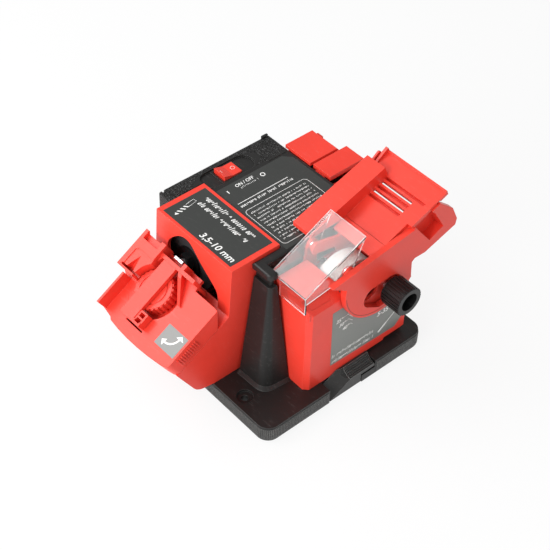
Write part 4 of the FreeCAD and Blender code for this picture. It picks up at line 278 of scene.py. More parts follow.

# %% [markdown]
# Now one recipe makes every plastic: grain, then a painted highlight along the edges, then the
# shader. The red is a satin ABS with a soft sheen, the black is a rougher one, and the knob is a
# touch darker still. Fine flutes catch the light on their crests, so the base's ribs and the lever's
# pad get a black with a stronger painted highlight on their edges.

# %% Plastic finishes
def plastic(
    name, colour, edge_highlight_colour, gloss, cloud=0.06, grain=0.35, scuff=0.12, edge=0.35, radius_mm=0.45,
    shine=0.5,
):
    made, tree, shader = start_material(name)
    grain_node = place_group(
        tree, moulded_grain, Colour=(*colour, 1), Cloud=cloud, Grain=grain, Gloss=gloss, Scuff=scuff,
    )
    rounded = add(tree, "ShaderNodeBevel", {"Radius": radius_mm * MM}, samples=4)
    true = add(tree, "ShaderNodeNewGeometry")
    # Painted highlight: the colour is lightened along the edges, where they would catch the light.
    toned = tree.nodes.new("ShaderNodeGroup")
    toned.node_tree = painted_edge_highlight
    toned.inputs["Edge Colour"].default_value = (*edge_highlight_colour, 1)
    toned.inputs["Strength"].default_value = edge
    tree.links.new(rounded.outputs[0], toned.inputs["Rounded"])
    tree.links.new(true.outputs["True Normal"], toned.inputs["True"])
    tree.links.new(grain_node.outputs["Colour"], toned.inputs["Colour"])
    tree.links.new(toned.outputs["Colour"], shader.inputs["Base Color"])
    tree.links.new(grain_node.outputs["Roughness"], shader.inputs["Roughness"])
    bump = add(
        tree, "ShaderNodeBump",
        {"Height": grain_node.outputs["Height"], "Normal": rounded, "Distance": 0.03 * MM, "Strength": 0.8},
    )
    tree.links.new(bump.outputs[0], shader.inputs["Normal"])
    shader.inputs["IOR"].default_value = 1.5
    shader.inputs["Specular IOR Level"].default_value = shine
    return made


# The edge colours below are painted highlights, laid along edges where the light would catch them.
RED = (0.83, 0.05, 0.03)
RED_EDGE_HIGHLIGHT = (1.0, 0.22, 0.17)
BLACK = (0.013, 0.0125, 0.012)
BLACK_EDGE_HIGHLIGHT = (0.11, 0.11, 0.105)
red_plastic = plastic("red_plastic", RED, RED_EDGE_HIGHLIGHT, 0.36, cloud=0.05, grain=0.2, shine=0.4)
fluted_plastic = plastic(
    "fluted_plastic", (0.05, 0.05, 0.048), (0.36, 0.36, 0.35), 0.36, grain=0.3, edge=0.75, radius_mm=0.3,
    shine=0.5,
)
lever_plastic = plastic(
    "lever_plastic", (0.018, 0.018, 0.017), (0.4, 0.4, 0.39), 0.36, grain=0.3, edge=1.0, radius_mm=0.28,
    shine=0.45,
)
black_plastic = plastic("black_plastic", BLACK, BLACK_EDGE_HIGHLIGHT, 0.42, cloud=0.12, grain=0.7, edge=0.5, shine=0.36)
knob_plastic = plastic(
    "knob_plastic", (0.009, 0.009, 0.009), (0.07, 0.07, 0.07), 0.34, grain=0.3, edge=0.4, radius_mm=0.3,
    shine=0.36,
)
print("plastics:", red_plastic.name, black_plastic.name, knob_plastic.name)

# %% [markdown]
# The top cover is the same black plastic, but its raised pads beside the switch are cast with a
# leather pattern: wrinkled cells about a millimetre wide. They lie behind the printed sheet, so a
# mask on the object coordinates finds them, with the oval round the switch kept smooth.

# %% The cover's leather pads
PADS_EDGE, OVAL_MIDDLE = (0, 139.0, 118.0), (85.5, 148.0, 117.0)
OVAL_SHARE, OVAL_R = 0.34, 10.8


def leather_cover():
    made = plastic("cover_plastic", BLACK, BLACK_EDGE_HIGHLIGHT, 0.38, cloud=0.12, grain=0.6, edge=0.5, shine=0.4)
    tree = made.node_tree
    shader = tree.nodes["Principled BSDF"]
    bump = next(n for n in tree.nodes if n.bl_idname == "ShaderNodeBump")
    seen = add(tree, "ShaderNodeTexCoord")
    split = add(tree, "ShaderNodeSeparateXYZ", {0: seen.outputs["Object"]})
    edge = at(*PADS_EDGE)
    behind = calc(tree, "GREATER_THAN", split.outputs["Y"], edge.y)
    middle = at(*OVAL_MIDDLE)
    dx = calc(tree, "ADD", split.outputs["X"], -middle.x)
    narrow = calc(tree, "MULTIPLY", dx, OVAL_SHARE)
    dy = calc(tree, "ADD", split.outputs["Y"], -middle.y)
    joined = add(tree, "ShaderNodeCombineXYZ", {"X": narrow, "Y": dy})
    far = add(tree, "ShaderNodeVectorMath", {0: joined}, operation="LENGTH")
    outside = calc(tree, "GREATER_THAN", far.outputs["Value"], OVAL_R * MM)
    mask = calc(tree, "MULTIPLY", behind, outside)
    warp = add(tree, "ShaderNodeTexNoise", {"Vector": seen.outputs["Object"], "Scale": 300.0, "Detail": 2.0})
    bent = add(
        tree, "ShaderNodeMix", {"Factor": 0.003, "A": seen.outputs["Object"], "B": warp.outputs["Color"]},
        data_type="VECTOR",
    )
    cells = add(
        tree, "ShaderNodeTexVoronoi", {"Vector": bent.outputs["Result"], "Scale": 400.0},
        feature="DISTANCE_TO_EDGE",
    )
    creased = add(tree, "ShaderNodeMapRange", {0: cells.outputs["Distance"], 1: 0.0, 2: 0.28, 3: 0.0, 4: 1.0})
    height = calc(tree, "MULTIPLY", creased, mask)
    leather = add(
        tree, "ShaderNodeBump", {"Height": height, "Normal": bump, "Distance": 0.9 * MM, "Strength": 1.0},
    )
    tree.links.new(leather.outputs[0], shader.inputs["Normal"])
    return made


cover_plastic = leather_cover()
print("cover:", cover_plastic.name)

# %% [markdown]
# Metals share one group too. Turned and ground steel shows fine marks that run round or along it,
# and cast or plated parts show a cloudy bloom. Stretching the noise along one axis is enough to
# tell them apart, and the roughness follows the bloom.

# %% A group for worked metal
def build_worked_metal():
    tree, given, result = start_group(
        "worked_metal", "ShaderNodeTree",
        [
            ("Vector", "Vector", None),
            ("Colour", "Color", (0.6, 0.6, 0.6, 1)),
            ("Stretch", "Vector", (1.0, 12.0, 1.0)),
            ("Marks", "Float", 0.25),
            ("Gloss", "Float", 0.28),
        ],
        [("Colour", "Color"), ("Roughness", "Float"), ("Height", "Float")],
    )
    drawn = add(tree, "ShaderNodeVectorMath", {0: given["Vector"], 1: given["Stretch"]}, operation="MULTIPLY")
    marks = add(tree, "ShaderNodeTexNoise", {"Vector": drawn, "Scale": 900.0, "Detail": 3.0})
    bloom = add(tree, "ShaderNodeTexNoise", {"Vector": given["Vector"], "Scale": 90.0, "Detail": 2.0})
    centred = calc(tree, "ADD", marks.outputs["Fac"], -0.5)
    tone = calc(tree, "MULTIPLY_ADD", centred, given["Marks"], 1.0)
    toned = add(tree, "ShaderNodeVectorMath", {0: given["Colour"]}, operation="SCALE")
    tree.links.new(tone.outputs[0], toned.inputs["Scale"])
    cloudy = calc(tree, "MULTIPLY_ADD", bloom.outputs["Fac"], 0.18, given["Gloss"])
    tree.links.new(toned.outputs[0], result.inputs["Colour"])
    tree.links.new(cloudy.outputs[0], result.inputs["Roughness"])
    tree.links.new(marks.outputs["Fac"], result.inputs["Height"])
    return tree


worked_metal = build_worked_metal()


def metal(name, colour, gloss=0.24, stretch=(1.0, 12.0, 1.0), marks=0.3):
    made, tree, shader = start_material(name)
    work = place_group(tree, worked_metal, Colour=(*colour, 1), Stretch=stretch, Marks=marks, Gloss=gloss)
    tree.links.new(work.outputs["Colour"], shader.inputs["Base Color"])
    tree.links.new(work.outputs["Roughness"], shader.inputs["Roughness"])
    bump = add(
        tree, "ShaderNodeBump", {"Height": work.outputs["Height"], "Distance": 0.01 * MM, "Strength": 0.4},
    )
    tree.links.new(bump.outputs[0], shader.inputs["Normal"])
    shader.inputs["Metallic"].default_value = 1.0
    return made


steel = metal("turned_steel", (0.62, 0.62, 0.63))
bright_steel = metal("ground_steel", (0.47, 0.47, 0.475), gloss=0.3, stretch=(12.0, 1.0, 12.0))
dark_steel = metal("blackened_steel", (0.05, 0.05, 0.052), gloss=0.45, stretch=(1.0, 1.0, 1.0))
zinc = metal("zinc_plate", (0.66, 0.68, 0.72), gloss=0.3, stretch=(1.0, 1.0, 1.0))
laminations = metal("core_sheets", (0.3, 0.31, 0.33), gloss=0.42, stretch=(1.0, 30.0, 1.0), marks=0.6)
copper = metal("enamelled_copper", (0.72, 0.3, 0.14), gloss=0.22, stretch=(1.0, 1.0, 14.0), marks=0.5)
brass = metal("stamped_brass", (0.78, 0.58, 0.26), gloss=0.26)
bronze = metal("sintered_bronze", (0.45, 0.32, 0.17), gloss=0.5, stretch=(1.0, 1.0, 1.0), marks=0.5)
print("metals:", 8)

# %% [markdown]
# The grinding wheels are bonded grit: sharp grains of corundum in a ceramic bond. A Voronoi cell
# is a grain, its random colour gives each one its own shade, and the gaps between grains are the
# pores. The white wheel is the cool-cutting one for chisels.

# %% Grinding stone
def stone(name, colour, pore_colour, grain_scale=1500.0):
    made, tree, shader = start_material(name)
    seen = add(tree, "ShaderNodeTexCoord")
    grains = add(tree, "ShaderNodeTexVoronoi", {"Vector": seen.outputs["Object"], "Scale": grain_scale})
    shade = add(tree, "ShaderNodeSeparateColor", {0: grains.outputs["Color"]})
    spread = add(tree, "ShaderNodeMapRange", {0: shade, 1: 0.0, 2: 1.0, 3: 0.78, 4: 1.12})
    body = add(tree, "ShaderNodeVectorMath", {0: colour}, operation="SCALE")
    tree.links.new(spread.outputs[0], body.inputs["Scale"])
    dirt = add(tree, "ShaderNodeTexNoise", {"Vector": seen.outputs["Object"], "Scale": 60.0, "Detail": 3.0})
    pores = add(tree, "ShaderNodeMapRange", {0: dirt.outputs["Fac"], 1: 0.5, 2: 0.75, 3: 0.0, 4: 0.5})
    mixed = add(tree, "ShaderNodeMix", {"Factor": pores, "A": body}, data_type="RGBA")
    mixed.inputs["B"].default_value = (*pore_colour, 1)
    tree.links.new(mixed.outputs["Result"], shader.inputs["Base Color"])
    bump = add(
        tree, "ShaderNodeBump",
        {"Height": grains.outputs["Distance"], "Distance": 0.25 * MM, "Strength": 1.0},
    )
    tree.links.new(bump.outputs[0], shader.inputs["Normal"])
    shader.inputs["Roughness"].default_value = 0.95
    return made


white_stone = stone("white_corundum", (0.8, 0.79, 0.76), (0.5, 0.48, 0.45))
grey_stone = stone("grey_corundum", (0.045, 0.045, 0.047), (0.015, 0.015, 0.015))
print("stones:", white_stone.name, grey_stone.name)

# %% [markdown]
# The guard over the chisel wheel is clear moulded plastic: real transmission with the refraction
# of acrylic, and a faint haze from handling that only changes its roughness. The rubber feet, the
# nylon fan, the carbon brushes and the printed films finish the list.

# %% Clear plastic, rubber and film
def clear_plastic():
    made, tree, shader = start_material("clear_plastic")
    haze = place_group(tree, moulded_grain, Colour=(0.985, 0.99, 0.99, 1), Cloud=0.0, Gloss=0.01, Scuff=0.03)
    tree.links.new(haze.outputs["Colour"], shader.inputs["Base Color"])
    tree.links.new(haze.outputs["Roughness"], shader.inputs["Roughness"])
    shader.inputs["Transmission Weight"].default_value = 1.0
    shader.inputs["IOR"].default_value = 1.47
    return made


def film(name, colour, gloss=0.32):
    # The films get the same painted edge highlight, a paler copy of their own colour.
    return plastic(
        name, colour, tuple(min(1, c * 1.6 + 0.03) for c in colour), gloss, cloud=0.05, grain=0.15,
        scuff=0.06, edge=0.25, radius_mm=0.12,
    )


clear = clear_plastic()
rubber = plastic("rubber", (0.02, 0.02, 0.02), (0.05, 0.05, 0.05), 0.75, grain=1.0, scuff=0.3)
nylon = plastic("nylon", (0.8, 0.78, 0.7), (0.9, 0.88, 0.82), 0.4, radius_mm=0.25)
carbon = plastic("carbon", (0.035, 0.035, 0.04), (0.09, 0.09, 0.1), 0.55, grain=0.8, radius_mm=0.2)
dark_film = film("dark_film", (0.036, 0.038, 0.036))
grey_film = film("grey_film", (0.2, 0.21, 0.195))
light_film = film("light_film", (0.21, 0.213, 0.206))
white_ink = film("white_ink", (0.86, 0.86, 0.84), gloss=0.4)
# Painted highlight: the pale plastic for the guard's rims and its hinge ring.
rim_highlight_paint = film("painted_rim_highlight", (0.82, 0.85, 0.86), gloss=0.12)
print("films:", dark_film.name, grey_film.name, light_film.name)

# %% [markdown]
# Each CAD part already names the finish it is made in. A table turns that name into one of the
# materials above, and a few parts get a closer match: the cover with its leather pads, the jaws,
# which are ground bright, and the side wheels' flanges and nuts, which are blackened.

# %% Dress the CAD parts
FINISHES = {
    "black_plastic": black_plastic, "red_plastic": red_plastic, "knob_plastic": knob_plastic,
    "clear_plastic": clear, "rubber": rubber, "steel": steel, "zinc": zinc,
    "laminations": laminations, "copper": copper, "brass": brass, "carbon": carbon,
    "bronze": bronze, "nylon": nylon, "white_stone": white_stone, "grey_stone": grey_stone,
    "dark_label": dark_film, "grey_label": grey_film, "light_label": light_film,
}
SPECIAL = {
    "top_cover": cover_plastic, "jaw_front": bright_steel, "jaw_back": bright_steel,
    "side_flanges": dark_steel, "side_nuts": dark_steel, "release_lever": lever_plastic,
}


def dress(part, finish):
    part.data.materials.clear()
    part.data.materials.append(finish)


for subpart in frame["record"]["subparts"]:
    name = subpart["node"]
    dress(frame["nodes"][name], SPECIAL.get(name) or FINISHES[subpart["material_slot"]])

# %% [markdown]
# Many small things repeat: the ribs round the base, the letters of the printed rows, the strokes
# of the signs. Geometry Nodes make them from a few named sizes. This helper runs such a tree once,
# keeps the result as a plain mesh in the place that a matrix gives, and drops the modifier.

# %% Run a Geometry Nodes tree once
def grow(name, tree, body, finish, place=None, base=None, **sizes):
    holder = bpy.data.objects.new(name + "_tree", base or bpy.data.meshes.new(name + "_seed"))
    bpy.context.scene.collection.objects.link(holder)
    modifier = holder.modifiers.new("tree", "NODES")
    modifier.node_group = tree
    sockets = {s.name: s.identifier for s in tree.interface.items_tree if s.in_out == "INPUT"}
    for title, value in dict(sizes, Finish=finish).items():
        modifier[sockets[title.replace("_", " ")]] = value
    seen = holder.evaluated_get(bpy.context.evaluated_depsgraph_get())
    mesh = bpy.data.meshes.new_from_object(seen)
    bpy.data.objects.remove(holder)
    if place is not None:
        mesh.transform(place)
    mesh.materials.clear()
    mesh.materials.append(finish)
    return settle(name, mesh, body)


def settle(name, mesh, body):
    """A finished mesh as a piece that rides on a body, with its normals pointing outwards."""
    mesh.name = name
    work = bmesh.new()
    work.from_mesh(mesh)
    bmesh.ops.remove_doubles(work, verts=work.verts, dist=1e-7)
    bmesh.ops.recalc_face_normals(work, faces=work.faces)
    work.to_mesh(mesh)
    work.free()
    piece = bpy.data.objects.new(name, mesh)
    bpy.context.scene.collection.objects.link(piece)
    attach(piece, body)
    print(name, "faces:", len(mesh.polygons))
    return piece


print("tree runner ready")

# %% [markdown]
# The base plate's side is fluted with hundreds of fine upright ribs, about 1.4 mm apart. They
# follow the plate's outline, a rectangle with round corners. The tree draws that outline, spaces
# points along it by the rib pitch, drops the ones where the release lever leaves the edge open,
# and stands a six-sided rod on each of the rest.

# %% The ribs round the base
def rib_tree():
    tree, given, result = start_group(
        "ribs_round_outline", "GeometryNodeTree",
        [
            ("Width", "Float", 0.16), ("Depth", "Float", 0.174),
            ("Corner Radius", "Float", 0.01), ("Rib Pitch", "Float", 0.0014),
            ("Rib Radius", "Float", 0.0004), ("Rib Height", "Float", 0.01),
            ("Middle", "Vector", (0, 0, 0)), ("Gap From", "Float", 0.0),
            ("Gap To", "Float", 0.02), ("Finish", "Material", None),
        ],
        [("Geometry", "Geometry")],
    )
    plan = add(
        tree, "GeometryNodeCurvePrimitiveQuadrilateral", {"Width": given["Width"], "Height": given["Depth"]},
    )
    rounded = add(tree, "GeometryNodeFilletCurve", {"Curve": plan, "Radius": given["Corner Radius"]})
    rounded.inputs["Limit Radius"].default_value = True
    rounded.mode = "POLY"
    rounded.inputs["Count"].default_value = 10
    spaced = add(
        tree, "GeometryNodeCurveToPoints", {"Curve": rounded, "Length": given["Rib Pitch"]}, mode="LENGTH",
    )
    moved = add(
        tree, "GeometryNodeSetPosition", {"Geometry": spaced.outputs["Points"], "Offset": given["Middle"]},
    )
    where = add(tree, "GeometryNodeInputPosition")
    split = add(tree, "ShaderNodeSeparateXYZ", {0: where})
    after = add(
        tree, "FunctionNodeCompare", {0: split.outputs["X"], 1: given["Gap From"]}, operation="GREATER_THAN",
    )
    before = add(
        tree, "FunctionNodeCompare", {0: split.outputs["X"], 1: given["Gap To"]}, operation="LESS_THAN",
    )
    middle = add(tree, "ShaderNodeSeparateXYZ", {0: given["Middle"]})
    front = add(
        tree, "FunctionNodeCompare", {0: split.outputs["Y"], 1: middle.outputs["Y"]}, operation="LESS_THAN",
    )
    both = add(tree, "FunctionNodeBooleanMath", {0: after, 1: before}, operation="AND")
    gap = add(tree, "FunctionNodeBooleanMath", {0: both, 1: front}, operation="AND")
    kept = add(tree, "GeometryNodeDeleteGeometry", {"Geometry": moved, "Selection": gap}, domain="POINT")
    rod = add(
        tree, "GeometryNodeMeshCylinder",
        {"Vertices": 6, "Radius": given["Rib Radius"], "Depth": given["Rib Height"]},
    )
    stood = add(tree, "GeometryNodeInstanceOnPoints", {"Points": kept, "Instance": rod})
    return end_tree(tree, given, result, stood)


BASE_W, BASE_D, BASE_CORNER = 160.0, 174.0, 10.0
RIB_LOW, RIB_HIGH = 1.2, 11.8
LEVER_GAP = (60.5, 110.5)
grow(
    "base_side_ribs", rib_tree(), "base", fluted_plastic,
    Width=BASE_W * MM, Depth=BASE_D * MM, Corner_Radius=BASE_CORNER * MM,
    Rib_Pitch=1.45 * MM, Rib_Radius=0.58 * MM, Rib_Height=(RIB_HIGH - RIB_LOW) * MM,
    Middle=at(BASE_W / 2, BASE_D / 2, (RIB_LOW + RIB_HIGH) / 2),
    Gap_From=at(LEVER_GAP[0], 0, 0).x, Gap_To=at(LEVER_GAP[1], 0, 0).x,
)

# %% [markdown]
# Printed signs are drawn as strokes. A stroke is a path with a width: the tree sweeps a thin flat
# section along it, so the ink stands a few hundredths of a millimetre proud of its film, as screen
# printing does. Closed paths make rings and frames, open ones make rules and leader lines.

# %% Strokes of ink
def stroke_tree():
    tree, given, result = start_group(
        "ink_stroke", "GeometryNodeTree",
        [
            ("Geometry", "Geometry", None), ("Line Width", "Float", 0.5),
            ("Ink Height", "Float", 0.06), ("Finish", "Material", None),
        ],
        [("Geometry", "Geometry")],
    )
    path = add(tree, "GeometryNodeMeshToCurve", {"Mesh": given["Geometry"]})
    section = add(
        tree, "GeometryNodeCurvePrimitiveQuadrilateral",
        {"Width": given["Line Width"], "Height": given["Ink Height"]},
    )
    upright = add(tree, "GeometryNodeSetCurveNormal", {"Curve": path})
    upright.mode = "Z_UP"
    swept = add(
        tree, "GeometryNodeCurveToMesh", {"Curve": upright, "Profile Curve": section, "Fill Caps": True},
    )
    return end_tree(tree, given, result, swept)


ink_stroke = stroke_tree()


def path_mesh(paths):
    """Polylines as one mesh of loose edges; a path whose ends meet is closed."""
    mesh = bpy.data.meshes.new("paths")
    points, edges = [], []
    for path in paths:
        first = len(points)
        closed = path[0] == path[-1]
        points += [(a, b, 0) for a, b in (path[:-1] if closed else path)]
        edges += [(i, i + 1) for i in range(first, len(points) - 1)]
        if closed:
            edges.append((len(points) - 1, first))
    mesh.from_pydata(points, edges, [])
    return mesh


def ring_path(a, b, radius, steps=28):
    turn = [
        (
            a + radius * math.cos(t * math.tau / steps), b + radius * math.sin(t * math.tau / steps),
        ) for t in range(steps)
    ]
    return turn + [turn[0]]


def draw(name, paths, width, place, body, ink=white_ink):
    return grow(
        name, ink_stroke, body, ink, place=place, base=path_mesh(paths), Line_Width=width, Ink_Height=0.08,
    )


def filled(name, outlines, place, body, ink=white_ink, height=0.08):
    """Flat outlines as thin blocks of ink."""
    work = bmesh.new()
    for outline in outlines:
        low = [work.verts.new((a, b, -height / 2)) for a, b in outline]
        high = [work.verts.new((a, b, height / 2)) for a, b in outline]
        work.faces.new(low[::-1])
        work.faces.new(high)
        for i in range(len(outline)):
            j = (i + 1) % len(outline)
            work.faces.new((low[i], low[j], high[j], high[i]))
    mesh = bpy.data.meshes.new(name)
    work.to_mesh(mesh)
    work.free()
    mesh.transform(place)
    mesh.materials.append(ink)
    return settle(name, mesh, body)


print("stroke tree ready")

# %% [markdown]
# The small print of the real films can't be read at this size, and none of it belongs on a plain
# part. What the eye needs is its rhythm: rows of small slanted marks with gaps between words. The
# tree makes four marks, a short stick, a tall one, a ring and an arch. It lays a grid of points,
# drops some by a seeded random value to part the words, and picks one of the marks for each point.

# %% Rows of unreadable print
def print_tree():
    tree, given, result = start_group(
        "print_rows", "GeometryNodeTree",
        [
            ("Row Length", "Float", 50.0), ("Rows", "Int", 6), ("Row Pitch", "Float", 3.0),
            ("Letters", "Int", 40), ("Mark Width", "Float", 0.8), ("Mark Height", "Float", 1.2),
            ("Line Width", "Float", 0.3), ("Gaps", "Float", 0.2), ("Lean", "Float", 0.2),
            ("Seed", "Int", 3), ("Finish", "Material", None),
        ],
        [("Geometry", "Geometry")],
    )
    less = calc(tree, "ADD", given["Rows"], -1.0)
    tall = calc(tree, "MULTIPLY", less, given["Row Pitch"])
    grid = add(
        tree, "GeometryNodeMeshGrid",
        {
            "Size X": given["Row Length"], "Size Y": tall, "Vertices X": given["Letters"],
            "Vertices Y": given["Rows"],
        },
    )
    chance = add(tree, "FunctionNodeRandomValue", {"Seed": given["Seed"]}, data_type="FLOAT")
    space = add(
        tree, "FunctionNodeCompare", {0: chance.outputs["Value"], 1: given["Gaps"]}, operation="LESS_THAN",
    )
    kept = add(tree, "GeometryNodeDeleteGeometry", {"Geometry": grid, "Selection": space}, domain="POINT")

    section = add(
        tree, "GeometryNodeCurvePrimitiveQuadrilateral", {"Width": given["Line Width"], "Height": 0.06},
    )
    half = calc(tree, "MULTIPLY", given["Mark Height"], 0.5)
    fine = calc(tree, "MULTIPLY", given["Mark Width"], 0.36)
    stick = add(
        tree, "ShaderNodeCombineXYZ", {"X": given["Line Width"], "Y": given["Mark Height"], "Z": 0.06},
    )
    long_y = calc(tree, "MULTIPLY", given["Mark Height"], 1.45)
    long_stick = add(tree, "ShaderNodeCombineXYZ", {"X": given["Line Width"], "Y": long_y, "Z": 0.06})
    short_mark = add(tree, "GeometryNodeMeshCube", {"Size": stick})
    tall_cube = add(tree, "GeometryNodeMeshCube", {"Size": long_stick})
    rise = calc(tree, "MULTIPLY", given["Mark Height"], 0.22)
    up = add(tree, "ShaderNodeCombineXYZ", {"Y": rise})
    tall_mark = add(tree, "GeometryNodeTransform", {"Geometry": tall_cube, "Translation": up})
    circle = add(tree, "GeometryNodeCurvePrimitiveCircle", {"Resolution": 10, "Radius": 1.0})
    arc = add(tree, "GeometryNodeCurveArc", {"Resolution": 7, "Radius": 1.0, "Sweep Angle": math.pi})
    oval = add(tree, "ShaderNodeCombineXYZ", {"X": fine, "Y": half, "Z": 1.0})
    marks = []
    for curve in (circle, arc):
        shaped = add(tree, "GeometryNodeTransform", {"Geometry": curve.outputs["Curve"], "Scale": oval})
        marks.append(
            add(
                tree, "GeometryNodeCurveToMesh",
                {"Curve": shaped, "Profile Curve": section, "Fill Caps": True},
            ),
        )
    choice = tree.nodes.new("GeometryNodeGeometryToInstance")
    for mark in (short_mark, tall_mark, *marks):
        tree.links.new(mark.outputs[0], choice.inputs[0])

    other = calc(tree, "ADD", given["Seed"], 11.0)
    which = add(tree, "FunctionNodeRandomValue", {"Seed": other}, data_type="INT")
    next(i for i in which.inputs if i.name == "Max" and i.type == "INT").default_value = 3
    picked = next(o for o in which.outputs if o.type == "INT")
    set_down = add(
        tree, "GeometryNodeInstanceOnPoints",
        {"Points": kept, "Instance": choice, "Pick Instance": True, "Instance Index": picked},
    )
    real = add(tree, "GeometryNodeRealizeInstances", {0: set_down})
    where = add(tree, "GeometryNodeInputPosition")
    split = add(tree, "ShaderNodeSeparateXYZ", {0: where})
    lean = calc(tree, "MULTIPLY", split.outputs["Y"], given["Lean"])
    shift = add(tree, "ShaderNodeCombineXYZ", {"X": lean})
    slanted = add(tree, "GeometryNodeSetPosition", {"Geometry": real, "Offset": shift})
    painted = add(tree, "GeometryNodeSetMaterial", {"Geometry": slanted, "Material": given["Finish"]})
    tree.links.new(painted.outputs[0], result.inputs[0])
    return tree


print_rows = print_tree()


def small_print(
    name, middle, length, rows, pitch, letters, height, place, body, seed, gaps=0.2, lean=0.0, weight=0.2,
):
    """Rows of marks: weight is a line's width as a share of the mark's height."""
    centre = Matrix.Translation((middle[0], middle[1], 0.02))
    return grow(
        name, print_rows, body, white_ink, place=place @ centre, Row_Length=length, Rows=rows,
        Row_Pitch=pitch, Letters=letters, Mark_Height=height, Mark_Width=0.82 * length / letters,
        Line_Width=weight * height, Seed=seed, Gaps=gaps, Lean=lean,
    )


print("print tree ready")

# %% [markdown]
# Numbers and the words ON and OFF are real text: Blender's own font, turned into a mesh before it
# is placed, with a little thickness so that it reads as ink. A switch needs its marks, and a guide
# its sizes; nothing else is written on the machine.

# %% Words and numbers
def letter(name, words, middle, height, place, body, ink=white_ink, slant=0.0, stretch=1.0):
    curve = bpy.data.curves.new(name, "FONT")
    curve.body = words
    curve.size = height / 0.72
    curve.align_x = "CENTER"
    curve.align_y = "CENTER"
    curve.shear = slant
    curve.offset = 0.02 * height
    curve.extrude = 0.04
    curve.resolution_u = 3
    holder = bpy.data.objects.new(name + "_words", curve)
    bpy.context.scene.collection.objects.link(holder)
    bpy.context.view_layer.update()
    mesh = bpy.data.meshes.new_from_object(holder.evaluated_get(bpy.context.evaluated_depsgraph_get()))
    bpy.data.objects.remove(holder)
    mesh.transform(
        place @ Matrix.Translation((middle[0], middle[1], 0.0)) @ Matrix.Diagonal((stretch, 1, 1, 1)),
    )
    mesh.materials.clear()
    mesh.materials.append(ink)
    return settle(name, mesh, body)


print("font:", bpy.data.curves.new("probe", "FONT").font.name)

# %% [markdown]
# The four printed faces lie at different angles: the big sheet and the drill sheet lie flat but
# are read from different sides, the chisel sheet stands upright in front, and the small square one
# lies on the sloping drill head. Each gets a frame of its own, at the height of its film.

# %% The printed faces
SLOPE = math.radians(31.3)
SLOPE_EDGE = (-11.6, 0.0, 79.2)
slope_right = Vector((math.cos(SLOPE), 0, math.sin(SLOPE)))
slope_out = Vector((-math.sin(SLOPE), 0, math.cos(SLOPE)))


def drawing_height(metres):
    return metres / MM + DRAWING_ORIGIN[2]


top_z = drawing_height(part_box("top_label")[1].z)
drill_z = drawing_height(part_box("drill_label")[1].z)
chisel_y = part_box("chisel_label")[0].y / MM + DRAWING_ORIGIN[1]
edge_place = at(*SLOPE_EDGE)
arrow_out = max((v.co - edge_place).dot(slope_out) for v in frame["nodes"]["arrow_plate"].data.vertices)
top_face = face_frame((1, 0, 0), (0, 1, 0), (0, 0, top_z))
drill_face = face_frame((0, -1, 0), (1, 0, 0), (0, 0, drill_z))
chisel_face = face_frame((1, 0, 0), (0, 0, 1), (0, chisel_y, 0))
arrow_face = Matrix.Translation(slope_out * arrow_out) @ face_frame(slope_right, (0, 1, 0), SLOPE_EDGE)
print("films at", round(top_z, 2), round(drill_z, 2), round(chisel_y, 2), round(arrow_out / MM, 2), "mm")

# %% [markdown]
# The big sheet on the cover: the switch marks at its upper edge, a rule, a first row of print and
# a thin frame with round corners that holds the long rows.

# %% Print on the cover sheet
letter("switch_words", "ON / OFF", (87.3, 130.2), 3.3, top_face, "base", slant=0.1, stretch=0.9)
draw("switch_signs", [[(70.5, 127.0), (70.5, 130.2)]], 0.9, top_face, "base")
draw("switch_ring", [ring_path(103.6, 128.1, 1.75)], 0.8, top_face, "base")
small_print("switch_row", (89.5, 126.4), 16.0, 1, 2.0, 13, 1.3, top_face, "base", 5)
draw("sheet_rule", [[(67.5, 113.8), (116.0, 113.8)]], 0.6, top_face, "base")
small_print(
    "sheet_heading", (92.5, 110.0), 49.0, 1, 2.0, 31, 1.9, top_face, "base", 8, gaps=0.12, weight=0.24,
)


def round_frame(a0, b0, a1, b1, radius, steps=6):
    corners = (
        (a1 - radius, b1 - radius, 0), (a0 + radius, b1 - radius, 90), (a0 + radius, b0 + radius, 180),
        (a1 - radius, b0 + radius, 270),
    )
    path = []
    for a, b, start in corners:
        for i in range(steps + 1):
            t = math.radians(start + 90 * i / steps)
            path.append((a + radius * math.cos(t), b + radius * math.sin(t)))
    return path + [path[0]]


draw("sheet_frame", [round_frame(65.6, 60.0, 125.4, 104.6, 3.4)], 0.38, top_face, "base")
small_print("sheet_rows", (95.2, 82.3), 52.0, 11, 3.55, 44, 1.15, top_face, "base", 21, gaps=0.15, weight=0.3)

# %% [markdown]
# The drill sheet shows a twist drill and the sizes that the holder takes. The drill lies on a
# slanted axis: an outlined shank at its far end, three narrow flutes that cross it and a tip.

# %% Print on the drill sheet
DRILL_TIP, DRILL_END = Vector((-132.2, 23.4)), Vector((-135.8, 44.8))
along = (DRILL_END - DRILL_TIP).normalized()
across = Vector((along.y, -along.x))


def on_drill(far, side):
    """A point of the drill sign: a distance from its tip and a distance to its side."""
    return tuple(DRILL_TIP + along * far + across * side)


